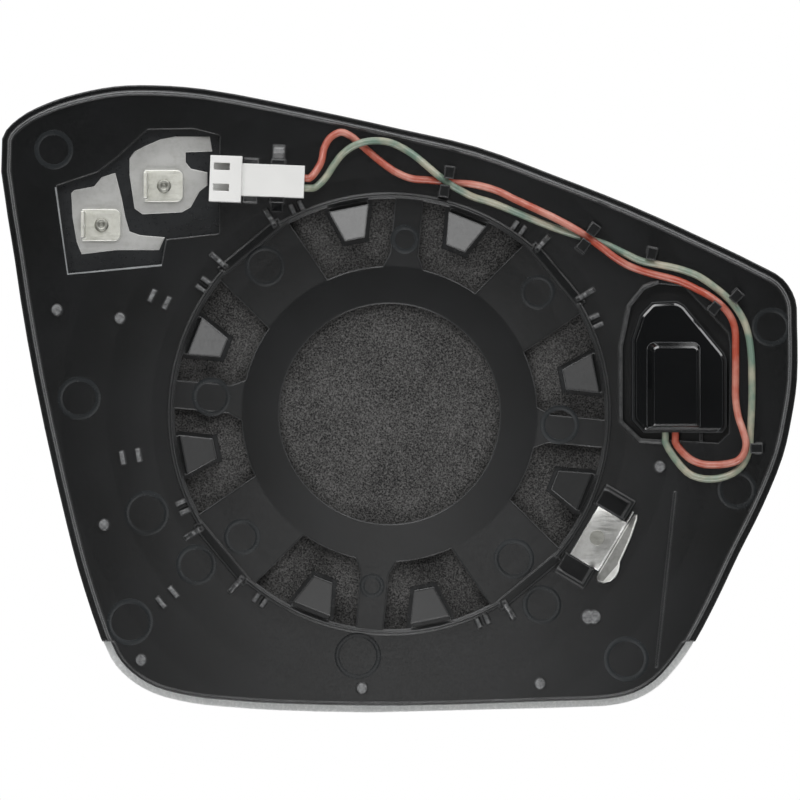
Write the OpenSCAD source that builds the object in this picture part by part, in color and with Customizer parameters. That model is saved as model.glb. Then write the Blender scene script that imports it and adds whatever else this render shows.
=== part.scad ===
// Heated door mirror glass for the left or right housing, seen and modelled from its back.
// The mirror face lies down, the moulded carrier faces up (+Z), +X runs towards the pointed side.
// The origin is the axis of the actuator seat, on the flat hub round the centre bore.

/* [Glass] */
// Overall width of the glass with its rim
glass_w = 190.6; // [184:0.2:204]
// Overall height of the glass with its rim
glass_h = 150.8; // [146:0.2:160]
// Thickness of the glass pane
glass_t = 2.2; // [1.8:0.1:3]
// Convex radius of the mirror face
glass_radius = 1400; // [1100:50:3000]
// Thickness of the heater film
film_t = 0.3; // [0.2:0.05:0.5]
// Thickness of the foam adhesive pad
foam_t = 0.8; // [0.6:0.1:1.5]

/* [Carrier] */
// Thickness of the moulded carrier plate
plate_t = 2; // [1.6:0.1:2.6]
// Thickness of the skirt round the glass edge
skirt_t = 1; // [0.8:0.1:1.4]
// How far the skirt stops short of the mirror face
skirt_short = 0.5; // [0.3:0.1:1]
// Width of the sunk step between the skirt and the plate
step_w = 1.5; // [1.2:0.1:2]
// Depth of that step below the plate
step_drop = 0.7; // [0.4:0.1:1]
// Width of the lip that runs round the plate
lip_w = 0.7; // [0.5:0.1:1.2]
// Height of the lip above the plate
lip_h = 0.6; // [0.4:0.1:1.2]
// Width of bare ground glass along the lower edge
bare_edge = 1.9; // [1.4:0.1:3]

/* [Actuator seat] */
// Radius of the centre bore
bore_r = 26.5; // [24:0.5:29]
// Radius of the flat hub round the bore
hub_r = 35.6; // [34.5:0.1:36.5]
// Outer radius of the thin seat ring
ring_r = 53; // [52.5:0.1:53.6]
// Thickness of the seat ring
ring_t = 0.8; // [0.6:0.1:1.2]
// Height of the seat ring above the plate
ring_h = 2.6; // [2:0.1:4]
// Radius at the inner end of each snap hook
hook_in_r = 42.6; // [42:0.1:43.4]
// Radius at the tip of each snap hook
hook_tip_r = 50.4; // [49.6:0.1:50.8]
// Width of a hook at its inner end
hook_in_w = 4.9; // [4:0.1:6]
// Width of a hook at its tip
hook_tip_w = 9.8; // [8.5:0.1:10.5]
// Height of a hook's inner end above the hub
hook_h = 5.2; // [4.4:0.1:6.5]
// How far the sloping face falls from the inner end to the tip
hook_fall = 2.4; // [1.8:0.1:2.8]
// Thickness of a hook's sloping head
hook_t = 1.4; // [1.1:0.1:1.8]

/* [Heater terminals] */
// Length of a terminal's foot
foot_l = 9.2; // [8.6:0.1:10]
// Width of a terminal's foot
foot_w = 7.6; // [7:0.1:8]
// Thickness of the terminal sheet
tab_t = 0.8; // [0.6:0.1:1]
// Width of the upright blade
blade_w = 6.3; // [4.8:0.1:6.8]
// Height of the upright blade above the heater film
blade_h = 9; // [7:0.1:11]
// Radius of a rivet head
rivet_r = 1.7; // [1.3:0.1:2]
// Thickness of the silver land under each terminal
land_t = 0.15; // [0.1:0.05:0.3]

/* [Connector] */
// Width of the housing's mating end
mate_w = 11; // [10:0.1:12]
// Length of the housing's mating end
mate_l = 7.6; // [7:0.1:8.6]
// Height of the housing's mating end
mate_h = 6.6; // [6:0.1:8]
// Width of the housing's wire end
shell_w = 7.7; // [7.2:0.1:8.4]
// Length of the housing's wire end
shell_l = 15; // [13:0.1:17]
// Height of the housing's wire end
shell_h = 5.4; // [4.8:0.1:6]

/* [Indicator] */
// How far the indicator's lid stands above the plate
lid_rise = 3.1; // [2.9:0.1:3.7]
// Height of the raised box on the lid
box_h = 1.7; // [1:0.1:2.5]
// Wall thickness of the indicator housing
case_t = 1.2; // [1:0.1:1.5]

/* [Wires] */
// Diameter over a wire's insulation
wire_d = 1.8; // [1.5:0.1:1.9]
// Distance between the two wires where they leave a housing
wire_pitch = 2.4; // [2.2:0.1:2.7]

/* [Spring clip] */
// Length of the spring plate along the ring
spring_l = 13.4; // [12:0.1:15]
// Width of the spring plate across the ring
spring_w = 8; // [7:0.1:9]
// Thickness of the spring sheet
spring_t = 0.5; // [0.4:0.1:0.8]

/* [Hidden] */

// Facets of large and of small round surfaces, and the extra depth that leaves no skin behind a hole
$fn = 96;
small_fn = 32;
cut = 1;

// Sizes that the places on the plate were laid out for
layout_w = 190.6;
layout_h = 150.8;

// Knots of the outline seen from the back, clockwise from the blunt upper corner
outline_knots = [
    [-92.9, 66], [-88.9, 70.9], [-82.4, 74.4], [-75.1, 76.8], [-65.9, 78.6], [-56.8, 78.9],
    [-44.5, 78], [-20, 73.4], [2.5, 68.5], [20.9, 64.2], [39.2, 57.5], [57.7, 50.2],
    [76, 41.9], [88.2, 36], [94.4, 32.4], [97.4, 27.4], [97.8, 21.4], [97.8, 8.2],
    [96.5, -1], [94.4, -10.2], [89.4, -22.5], [83.9, -33.5], [78.4, -45.1], [73.6, -54.2],
    [69.9, -59.8], [64.9, -65.3], [59.4, -68.6], [52.7, -70.2], [39.2, -70.8], [2.5, -71.9],
    [-26.1, -71.4], [-38.4, -70.6], [-47.6, -69.6], [-56.8, -67.2], [-62.9, -63.5], [-67.1, -58.6],
    [-73.3, -42], [-77.6, -26.2], [-85.2, 8.2], [-89.9, 36.7]];
outline_steps = 3;
// Height below which the carrier leaves the glass edge bare
bare_below = -54.6;
// Clearance between the glass edge and the skirt, and the glass edge's own inset where it is bare
glass_play = 0.1;
pad_inset = 2.2;
hook_relief = 0.9;

// Depths of the layers under the carrier's back
foam_d = plate_t + foam_t;
film_d = foam_d + film_t;
glass_d = film_d + glass_t;
// How deep a rib's root reaches into the plate
root = 0.8;

// Stations of the turned surfaces: even steps under the hub, longer ones out to the rim
hub_steps = 3;
rim_steps = 8;
reach = 122;
stations = concat([for (k = [0:hub_steps - 1]) hub_r * k / hub_steps],
    [for (k = [0:rim_steps]) hub_r + k * (reach - hub_r) / rim_steps]);

// Height of the convex form at a radius, zero at the edge of the hub
function sag(r) = glass_radius - sqrt(pow(glass_radius, 2) - pow(r, 2));
function bow(r) = sag(r) - sag(hub_r);
function back_z(p) = max(0, bow(norm(p)));
function polar(r, a) = [r * cos(a), r * sin(a)];
function unit(v) = v / norm(v);

// A point of the rim, moved when the glass is made wider or taller
function stretched(p) = [p.x * glass_w / layout_w, p.y * glass_h / layout_h];
// Distance from the axis to the laid-out rim in a direction, by the one edge that it crosses
function edge_hit(u, a, b) =
    let (along = b - a, across = cross(u, along), t = cross(a, along) / across, s = cross(a, u) / across)
    across != 0 && t > 0 && s >= 0 && s <= 1 ? t : 0;
function rim_reach(u) =
    let (k = outline_knots, n = len(k)) max([for (i = [0:n - 1]) edge_hit(u, k[i], k[(i + 1) % n])]);
// A place on the plate: it moves with the rim, and keeps its share of the way out from the seat
seat_gap = 0.4;
seat_keep = ring_r + wire_d / 2 + seat_gap;
function at(p) =
    let (q = stretched(p), reach = rim_reach(unit(p)), new_reach = reach * norm(q) / norm(p),
         share = (norm(p) - seat_keep) / (reach - seat_keep))
    unit(q) * max(norm(q), seat_keep + share * (new_reach - seat_keep));
function moved(place, shape) = [for (p = shape) at(place + p)];

// Smooth closed curve through knots, with the pace of each span set by its own length
function pace(a, b) = pow(norm(b - a), 0.5);
function mix(a, b, ta, tb, t) = ((tb - t) * a + (t - ta) * b) / (tb - ta);
function span_point(p, t1, t2, t3, t) =
    let (a1 = mix(p[0], p[1], 0, t1, t), a2 = mix(p[1], p[2], t1, t2, t),
         a3 = mix(p[2], p[3], t2, t3, t), b1 = mix(a1, a2, 0, t2, t), b2 = mix(a2, a3, t1, t3, t))
    mix(b1, b2, t1, t2, t);
function span_at(p, f) =
    let (t1 = pace(p[0], p[1]), t2 = t1 + pace(p[1], p[2]), t3 = t2 + pace(p[2], p[3]))
    span_point(p, t1, t2, t3, t1 + f * (t2 - t1));
function closed_curve(k, steps) =
    [for (i = [0:len(k) - 1], s = [0:steps - 1])
        span_at([for (j = [-1:2]) k[(i + j + len(k)) % len(k)]], s / steps)];

// A closed clockwise loop moved inwards by d, with mitred corners
function edge_normal(a, b) = unit([b.y - a.y, a.x - b.x]);
function inset(loop, d) =
    [for (i = [0:len(loop) - 1])
        let (n = len(loop), p = loop[i],
             m1 = edge_normal(loop[(i + n - 1) % n], p), m2 = edge_normal(p, loop[(i + 1) % n]))
        p + d * (m1 + m2) / (1 + m1 * m2)];

outline = closed_curve([for (p = outline_knots) stretched(p)], outline_steps);

// Flat shape inside the outline: one inset along the skirt, another along the bare lower edge
module face(d, d_bare) {
    far = 2 * layout_w;
    intersection() {
        polygon(inset(outline, d));
        translate([-far / 2, bare_below * glass_h / layout_h]) square([far, far]);
    }
    intersection() {
        polygon(inset(outline, d_bare));
        translate([-far / 2, bare_below * glass_h / layout_h - far]) square([far, far]);
    }
}

// Turned layer between two heights measured from the convex back; the hub can be kept flat
module layer(top, bottom, flat_hub = false) {
    tops = [for (r = stations) [r, (flat_hub ? max(0, bow(r)) : bow(r)) + top]];
    bottoms = [for (i = [len(stations) - 1:-1:0]) [stations[i], bow(stations[i]) + bottom]];
    rotate_extrude() polygon(concat(tops, bottoms));
}

// Upright prism of a flat shape, tall enough to pass through every layer
tall = 40;
module prism() {
    translate([0, 0, -tall / 2]) linear_extrude(tall) children();
}

// The piece of a layer inside a flat shape
module layer_piece(top, bottom) {
    intersection() {
        layer(top, bottom);
        prism() children();
    }
}

/* Openings through the carrier and the pad */

// Snap hooks stand in pairs round the seat
pair_count = 4;
pair_turn = -5.3;
hook_spread = 16.5;
function pair_angle(i) = pair_turn + i * 360 / pair_count;
function diagonal_angle(i) = pair_angle(i) + 180 / pair_count;

// Window beside each hook, in the frame of its pair
window_out_r = 51.7;
web_half = 3.4;
window_end = 33;
window_arc_steps = 6;
window_nip = 3;
function window_arc(r, a, b) =
    [for (k = [0:window_arc_steps]) polar(r, a + (b - a) * k / window_arc_steps)];
window_in_r = hub_r;
hook_window = concat(
    window_arc(window_out_r, window_end, asin(web_half / window_out_r)),
    [[window_in_r + window_nip, web_half]],
    window_arc(window_in_r, asin((web_half + window_nip / 2) / window_in_r), window_end - window_nip));

// Window over the heater's silver lands
heater_place = [-64, 52];
heater_window = [
    [-15.8, 2.7], [-13, -18.2], [9.2, -16], [10.3, -10], [23, -8.6], [23.2, 14.8], [17, 16.4], [6, 16.2],
    [-1.4, 9.4], [-6, 6]];

// Opening and case of the indicator, clockwise
indicator_place = [70, 11];
indicator_hole = [
    [-14, 5], [-12, 14.8], [-8.6, 19], [-5.4, 20.2], [0.6, 19.6], [11.2, 8.4], [11.7, 5.6], [11.4, -15.6],
    [9, -17.9], [-9.6, -16.8], [-14, -12.6]];
indicator_case_low = -15.4;
case_play = 0.1;
indicator_case = [
    [-11.8, 6.8], [-9.8, 12.8], [-7, 15.8], [-1.2, 16.1], [0.6, 15.2], [10.2, 3.6], [10.8, 2],
    [10.8, -14.2], [9.8, indicator_case_low], [-9, indicator_case_low], [-11.8, -12.4]];
// Foot and top of the raised box on the lid, which slopes most at its left and upper sides
lid_box_foot = [[-8.7, 5.4], [-7.6, 6.5], [3.5, 6.5], [4.6, 5.4], [4.6, -14.4], [-8.7, -14.4]];
lid_box_top = [[-7.1, 4.4], [-6.2, 5.3], [3.2, 5.3], [4.1, 4.4], [4.1, -13.9], [-7.1, -13.9]];

hole_loop = moved(indicator_place, indicator_hole);
case_loop = moved(indicator_place, indicator_case);
module heater_hole() { polygon(moved(heater_place, heater_window)); }
module indicator_opening() { polygon(hole_loop); }

/* Glass, heater film and foam pad */

module mirror_glass() {
    color("lightsteelblue")
    layer_piece(-film_d, -glass_d) face(skirt_t + glass_play, glass_play);
}

module heater_film() {
    color([0.12, 0.12, 0.13])
    layer_piece(-foam_d, -film_d) difference() {
        face(pad_inset, pad_inset + bare_edge - skirt_t);
        indicator_opening();
    }
}

module foam_pad() {
    color([0.3, 0.3, 0.3])
    layer_piece(-plate_t, -foam_d) difference() {
        face(pad_inset, pad_inset + bare_edge - skirt_t);
        indicator_opening();
        heater_hole();
        // Clearance for the snap hooks
        for (i = [0:pair_count - 1], s = [-1, 1])
            rotate(pair_angle(i) + s * hook_spread) hook_plan(hook_in_r - hook_relief, hook_relief);
    }
}

/* Carrier */

module plate_body() {
    // Plate with its windows
    difference() {
        intersection() {
            layer(0, -plate_t, flat_hub = true);
            prism() face(step_w, bare_edge);
        }
        prism() {
            heater_hole();
            indicator_opening();
            for (i = [0:pair_count - 1], m = [0, 1])
                rotate(pair_angle(i)) mirror([0, m]) polygon(hook_window);
        }
        translate([0, 0, -tall / 2]) cylinder(r = bore_r, h = tall);
    }
    // Skirt round the glass edge
    layer_piece(-step_drop, skirt_short - glass_d) difference() {
        intersection() {
            polygon(inset(outline, 0));
            translate([-layout_w, bare_below * glass_h / layout_h]) square(2 * layout_w);
        }
        polygon(inset(outline, skirt_t));
    }
    // Bridge from the plate to the skirt, over the glass edge
    layer_piece(-step_drop, -plate_t) difference() {
        intersection() {
            polygon(inset(outline, skirt_t / 2));
            translate([-layout_w, bare_below * glass_h / layout_h]) square(2 * layout_w);
        }
        polygon(inset(outline, step_w + skirt_t));
    }
    // Lip along the plate's edge
    layer_piece(lip_h, -root) difference() {
        face(step_w, bare_edge);
        face(step_w + lip_w, bare_edge + lip_w);
    }
}

// Thin ring that the actuator's skirt comes down inside, broken at the four diagonals
ring_break = 9.5;
module seat_ring() {
    top = bow(ring_r) + ring_h;
    difference() {
        translate([0, 0, -root]) rotate_extrude()
            translate([ring_r - ring_t, 0]) square([ring_t, top + root]);
        for (i = [0:pair_count - 1]) rotate(diagonal_angle(i)) prism()
            polygon([[0, 0], polar(2 * ring_r, -ring_break), polar(2 * ring_r, ring_break)]);
    }
}

// Outline of a hook from above, from an inner radius to under the window's outer edge, made wider all round
hook_edge_r = window_out_r + cut;
module hook_plan(inner, grow) {
    in_y = hook_in_w / 2 + grow;
    tip_y = hook_tip_w / 2 + grow;
    polygon([
        [inner, in_y], [hook_in_r, in_y], [hook_tip_r, tip_y], [hook_edge_r, tip_y], [hook_edge_r, -tip_y],
        [hook_tip_r, -tip_y], [hook_in_r, -in_y], [inner, -in_y]]);
}

// One snap hook: a tongue in from the window's outer edge, a stem, and a sloping head that catches outwards
stem_t = 1.6;
tongue_t = 1.2;
tongue_play = 0.1;
head_root = 1.4;
head_fillet = 0.4;
module snap_hook() {
    tip_z = hook_h - hook_fall;
    foot_z = bow(hook_edge_r) - plate_t + tongue_play;
    profile = [
        [hook_edge_r, foot_z], [hook_in_r, foot_z], [hook_in_r, hook_h], [hook_tip_r, tip_z],
        [hook_tip_r, tip_z - hook_t], [hook_in_r + stem_t + head_fillet, hook_h - hook_t - head_root],
        [hook_in_r + stem_t, foot_z + tongue_t], [hook_edge_r, foot_z + tongue_t]];
    intersection() {
        rotate([90, 0, 0]) translate([0, 0, -hook_tip_w]) linear_extrude(2 * hook_tip_w) polygon(profile);
        prism() hook_plan(hook_in_r - cut, 0);
    }
}

// Straight bar across each diagonal, with a radial gusset and a pair of catch ribs at either side
bar_w = 2.2;
bar_h = 1.3;
gusset_l = 5;
gusset_t = 1;
gusset_h = 2.2;
gusset_top_l = 1;
gusset_toe_h = 0.4;
gusset_turn = 8.4;
bar_overlap = 0.6;
catch_turn = 15.5;
catch_l = 3;
catch_t = 0.9;
catch_gap = 1.3;
catch_drop = 0.4;
module diagonal_bar() {
    z = bow(ring_r) - root;
    l = 2 * ring_r * sin(ring_break + bar_overlap);
    translate([ring_r * cos(ring_break) - bar_w / 2, -l / 2, z]) cube([bar_w, l, root + bar_h]);
}
module gusset() {
    z = bow(ring_r);
    translate([ring_r - ring_t / 2, gusset_t / 2, 0]) rotate([90, 0, 0]) linear_extrude(gusset_t)
        polygon([
            [0, z - root], [0, z + gusset_h], [gusset_top_l, z + gusset_h], [gusset_l, z + gusset_toe_h],
            [gusset_l, z - root]]);
}
module catch_ribs() {
    z = bow(ring_r);
    middle = (catch_gap + catch_t) / 2;
    for (s = [-1, 1]) translate([ring_r - ring_t / 2, s * middle - catch_t / 2, z - root])
        cube([catch_l, catch_t, root + ring_h - catch_drop]);
}

// Locating posts and paired ribs that stand on the plate
post_r = 1.2;
post_h = 1.5;
posts = [
    [-79.8, 25], [-64.7, 23], [-68.5, -26.6], [-59.6, -59], [-6.6, -65.8], [36.1, -64.7], [64.9, -12.6]];
oval_post = [48.4, -48.7];
oval_r = 1.5;
oval_half = 0.7;
// Radius from the axis and angle of each pair of ribs
rib_pairs = [[61.7, 153.5], [63, 189.3], [69.1, 219.5]];
rib_l = 3;
rib_t = 1;
rib_gap = 3.9;
module standing_ribs() {
    for (p = posts) let (q = at(p))
        translate([q.x, q.y, back_z(q) - root]) cylinder(r = post_r, h = root + post_h, $fn = small_fn);
    translate([at(oval_post).x, at(oval_post).y, back_z(at(oval_post)) - root])
        for (x = [-oval_half, oval_half]) translate([x, 0, 0])
            cylinder(r = oval_r, h = root + post_h, $fn = small_fn);
    for (p = rib_pairs, s = [-1, 1]) let (r = p[0] + s * rib_gap / 2)
        rotate(p[1]) translate([r - rib_t / 2, -rib_l / 2, bow(r) - root])
            cube([rib_t, rib_l, root + post_h]);
}

// Wire guides: a post with a nib that reaches over the wire
guide_w = 2.4;
guide_t = 1.5;
guide_nib = 1.5;
nib_t = 0.8;
// Place under the nib, direction of the nib and room under it
guide_standoff = 1.9;
guides = [
    [[14.1, 56.0], 262, 4.3], [[13.4, 55.3], 82, 4.3], [[47.7, 42.6], 234, 4.6], [[47.6, 41.9], 54, 4.6],
    [[62.5, 36.6], 258, 2.3], [[81.8, 26.8], 228, 2.9], [[79.0, 26.8], 51, 3.2], [[85.9, -8.2], 180, 4.2]];
function guide_face(p, reach) = at(p) - unit(reach) * max(norm(reach), norm(at(p - reach) - at(p)));
module wire_guide(room) {
    translate([-guide_t, -guide_w / 2, 0]) {
        translate([0, 0, -root]) cube([guide_t, guide_w, root + room + nib_t]);
        translate([0, 0, room]) cube([guide_t + guide_nib, guide_w, nib_t]);
    }
}

// Cradle for the connector: a pad under its housing and one springing arm at each side
connector_spot = [-31.7, 56];
connector_turn = -2.2;
connector_l = mate_l + shell_l;
// The place of the housing's middle, kept where its wire end stands clear of the seat ring
connector_near = at(connector_spot);
clear_y = sqrt(max(0, pow(ring_r + seat_gap, 2) - pow(min(0, connector_near.x + connector_l / 2), 2)))
    + shell_w / 2 + sin(-connector_turn) * connector_l / 2;
connector_place = [connector_near.x, max(connector_near.y, clear_y)];
pad_h = 0.6;
pad_l = 3.4;
pad_gap = 6.5;
arm_t = 1.4;
arm_h = 3.6;
brace_inset = 0.3;
brace_top = 3;
brace_toe = 0.6;
brace_l = [3.4, 1.8];
cradle_x = 3.2;
connector_z = back_z(connector_place) + pad_h;
module connector_frame() {
    translate([connector_place.x, connector_place.y, connector_z]) rotate(connector_turn) children();
}
module connector_cradle() {
    connector_frame() {
        for (x = [cradle_x - pad_gap, cradle_x]) translate([x, -shell_w / 2 - arm_t, -root - pad_h])
            cube([pad_l, shell_w + 2 * arm_t, root + pad_h]);
        for (s = [0, 1]) mirror([0, s]) {
            translate([cradle_x, shell_w / 2, -root - pad_h]) cube([pad_l, arm_t, root + pad_h + arm_h]);
            translate([cradle_x + brace_inset, shell_w / 2 + arm_t / 2, 0]) rotate([90, 0, 90])
                linear_extrude(pad_l - 2 * brace_inset)
                    polygon([
                        [0, -root - pad_h], [0, brace_top], [arm_t / 2, brace_top],
                        [arm_t / 2 + brace_l[s], brace_toe], [arm_t / 2 + brace_l[s], -root - pad_h]]);
        }
    }
}

// Wall along the left of the indicator's opening, left out where the wires pass beside it
wall_t = 0.9;
wall_h = 1;
wall_right = -5.4;
wall_low = -13;
wall_low_right = -4.6;
module indicator_wall() {
    layer_piece(wall_h, -root) difference() {
        polygon(inset(hole_loop, -wall_t));
        polygon(hole_loop);
        translate(at(indicator_place + [wall_right, wall_low])) square(layout_h);
        translate(at(indicator_place + [wall_low_right, wall_low]) - [0, layout_h]) square(layout_h);
    }
}

// Rib at the opening's lower edge that the indicator's housing stands against
stop_x = 4.8;
stop_w = 0.9;
stop_l = 2.6;
stop_drop = 0.4;
module indicator_stop() {
    layer_piece(-stop_drop, -plate_t) translate(at(indicator_place + [stop_x, indicator_case_low]))
        translate([-stop_w / 2, -case_play - stop_l]) square([stop_w, stop_l]);
}

// Fine groove in the plate below the indicator
groove = [[68.5, -18.7], [64, -60.7]];
groove_w = 0.5;
groove_d = 0.25;
module plate_groove() {
    a = at(groove[0]);
    b = at(groove[1]);
    side = unit([b.y - a.y, a.x - b.x]) * groove_w / 2;
    layer_piece(cut, -groove_d) polygon([a - side, b - side, b + side, a + side]);
}

// Seat of the spring clip, with an open pocket at either end
spring_r = 58.4;
spring_angle = -30.8;
spring_lift = 0.8;
spring_z = bow(spring_r) + spring_lift;
seat_inset = 0.6;
seat_end = 0.4;
pocket_in = -5;
pocket_w = 8;
pocket_l = 5.2;
pocket_h = 2.6;
pocket_floor = 0.6;
pocket_wall = 0.9;
pocket_gap = 0.2;
module spring_frame() {
    rotate(spring_angle) translate([spring_r, 0, spring_z]) children();
}
module spring_pockets() {
    drop = root + spring_lift;
    spring_frame() {
        translate([seat_inset - spring_w / 2, seat_end - spring_l / 2, -drop])
            cube([spring_w - spring_t - 2 * seat_inset, spring_l - 2 * seat_end, drop]);
        for (s = [0, 1]) mirror([0, s]) translate([pocket_in, spring_l / 2 + pocket_gap, -drop])
            difference() {
                cube([pocket_w, pocket_l, drop + pocket_h]);
                translate([-cut, -cut, drop + pocket_floor])
                    cube([pocket_w + cut - pocket_wall, pocket_l + cut - pocket_wall, pocket_h]);
            }
    }
}

module carrier_plate() {
    color([0.14, 0.14, 0.15]) {
        difference() {
            plate_body();
            plate_groove();
        }
        seat_ring();
        for (i = [0:pair_count - 1]) {
            for (s = [-1, 1]) rotate(pair_angle(i) + s * hook_spread) snap_hook();
            rotate(diagonal_angle(i)) diagonal_bar();
            for (s = [-1, 1]) {
                // The spring clip takes the place of one gusset and one pair of catch ribs
                if (i < pair_count - 1 || s < 0) rotate(diagonal_angle(i) + s * gusset_turn) gusset();
                if (i < pair_count - 1 || s < 0) rotate(diagonal_angle(i) + s * catch_turn) catch_ribs();
            }
        }
        standing_ribs();
        for (g = guides) let (q = guide_face(g[0], polar(guide_standoff, g[1])))
            translate([q.x, q.y, back_z(q)]) rotate(g[1]) wire_guide(g[2]);
        connector_cradle();
        indicator_wall();
        indicator_stop();
        spring_pockets();
    }
}

/* Heater lands and terminals */

upper_land = [
    [1.5, 9.4], [2.7, 11.1], [5.2, 12.4], [8.9, 14], [12.5, 14.7], [20.8, 14.7], [21.4, 11.1], [15, 10.9],
    [15, 8.5], [16.2, 7], [20.2, 6.1], [20.2, 3], [18.3, 1.5], [16.2, -2.3], [14.1, -3.5], [4.6, -4],
    [2.7, -2.6], [1.5, 5.4]];
lower_land = [
    [-12.5, 1.1], [-11.8, 1.8], [-7, 2.7], [-5.2, 4.9], [-2.8, 5.7], [-1.9, 5.9], [-0.3, -0.4], [0.5, -4.7],
    [1.5, -8.1], [4, -9], [10, -9.5], [9, -11.6], [8.6, -12.6], [-1.5, -12.6], [-10, -13.6], [-11.2, -10.7],
    [-12.2, -4.7]];
upper_foot = [9.8, 2.8];
lower_foot = [-5.2, -6.6];
module land(shape) {
    color("silver") layer_piece(land_t - foam_d, -foam_d) polygon(moved(heater_place, shape));
}
module heater_land_upper() { land(upper_land); }
module heater_land_lower() { land(lower_land); }

// Terminal: riveted foot with rounded free corners and an upright blade at its left edge
foot_corner = 1.6;
blade_lift = 0.4;
blade_hole_r = 0.8;
blade_hole_drop = 2;
rivet_shank_r = 0.9;
rivet_shank_proud = 0.1;
rivet_head_h = 0.7;
module terminal(place) {
    q = at(heater_place + place);
    top = land_t + tab_t - foam_d;
    color("gainsboro") difference() {
        union() {
            layer_piece(top, land_t - foam_d) translate(q) {
                translate([-foot_l / 2, -foot_w / 2]) square([foot_l - foot_corner, foot_w]);
                translate([-foot_l / 2, foot_corner - foot_w / 2])
                    square([foot_l, foot_w - 2 * foot_corner]);
                for (s = [-1, 1]) translate([foot_l / 2 - foot_corner, s * (foot_w / 2 - foot_corner)])
                    circle(r = foot_corner, $fn = small_fn);
            }
            translate([q.x - foot_l / 2, q.y - blade_w / 2, bow(norm(q)) + land_t - foam_d + blade_lift])
                cube([tab_t, blade_w, blade_h]);
        }
        translate([q.x, q.y, -tall / 2]) cylinder(r = rivet_shank_r, h = tall, $fn = small_fn);
        translate([q.x - foot_l / 2 - cut, q.y, bow(norm(q)) - foam_d + blade_h - blade_hole_drop])
            rotate([0, 90, 0]) cylinder(r = blade_hole_r, h = tab_t + 2 * cut, $fn = small_fn);
    }
}
module terminal_upper() { terminal(upper_foot); }
module terminal_lower() { terminal(lower_foot); }

// Rivets: shank down to the land, domed head on the foot
module terminal_rivets() {
    color("darkgray") for (place = [upper_foot, lower_foot]) let (q = at(heater_place + place)) {
        intersection() {
            translate([q.x, q.y, -tall / 2]) cylinder(r = rivet_shank_r, h = tall, $fn = small_fn);
            layer(land_t + tab_t - foam_d + rivet_shank_proud, land_t - foam_d);
        }
        intersection() {
            translate([q.x, q.y, -tall / 2]) cylinder(r = rivet_r, h = tall, $fn = small_fn);
            layer(land_t + tab_t - foam_d + rivet_head_h, land_t + tab_t - foam_d);
        }
    }
}

/* Connector */

contact_d = 1.2;
contact_l = 2.2;
wire_hole_l = 4;
wire_lift = shell_h / 2;
latch_slot_l = 3.8;
latch_slot_w = 1.7;
latch_slot_gap = 5;
socket_wall = 1.1;
latch_slot_x = 0.9;
latch_slot_y = 0.4;
bore_play = 0.1;
wire_side = -0.2;
function wire_y(s) = wire_side + s * wire_pitch / 2;
module connector_housing() {
    color("whitesmoke") connector_frame() difference() {
        union() {
            translate([-connector_l / 2, -mate_w / 2, 0]) cube([mate_l, mate_w, mate_h]);
            translate([mate_l - connector_l / 2, -shell_w / 2, 0]) cube([shell_l, shell_w, shell_h]);
        }
        // Socket that the vehicle's plug goes into
        translate([-connector_l / 2 - cut, socket_wall - mate_w / 2, socket_wall])
            cube([mate_l + cut - socket_wall, mate_w - 2 * socket_wall, mate_h - 2 * socket_wall]);
        // Two latch slots through the top of the socket
        for (s = [-1, 1])
            translate([
                latch_slot_x - connector_l / 2, latch_slot_y + (s * latch_slot_gap - latch_slot_w) / 2,
                mate_h - 2 * socket_wall]) cube([latch_slot_l, latch_slot_w, 3 * socket_wall]);
        // Passages for the contacts and the wires
        for (s = [-1, 1]) translate([0, wire_y(s), wire_lift]) rotate([0, 90, 0]) {
            translate([0, 0, -connector_l / 2])
                cylinder(r = contact_d / 2, h = connector_l - wire_hole_l / 2, $fn = small_fn);
            translate([0, 0, connector_l / 2 - wire_hole_l])
                cylinder(r = wire_d / 2 + bore_play, h = wire_hole_l + cut, $fn = small_fn);
        }
    }
}
module connector_contacts() {
    color("goldenrod") connector_frame() for (s = [-1, 1])
        translate([mate_l - connector_l / 2 - contact_l, wire_y(s), wire_lift]) rotate([0, 90, 0])
            cylinder(r = contact_d / 2, h = connector_l - mate_l + contact_l - wire_hole_l, $fn = small_fn);
}

/* Indicator */

board_t = 0.8;
diffuser_t = 0.6;
diffuser_w = 10;
diffuser_l = 12;
diffuser_place = [-1, -2];
led_w = 2.4;
led_h = 0.7;
led_count = 3;
led_gap = 3.4;
led_half = [led_w / 2, led_w / 2, 0];
lid_t = 1;
lid_inset = 0.5;
box_brim = 0.3;
led_room = 0.5;
seal_l = 2.6;
seal_at = at(indicator_place + [-2.6, indicator_case_low]);
seal_play = 0.05;
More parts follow.
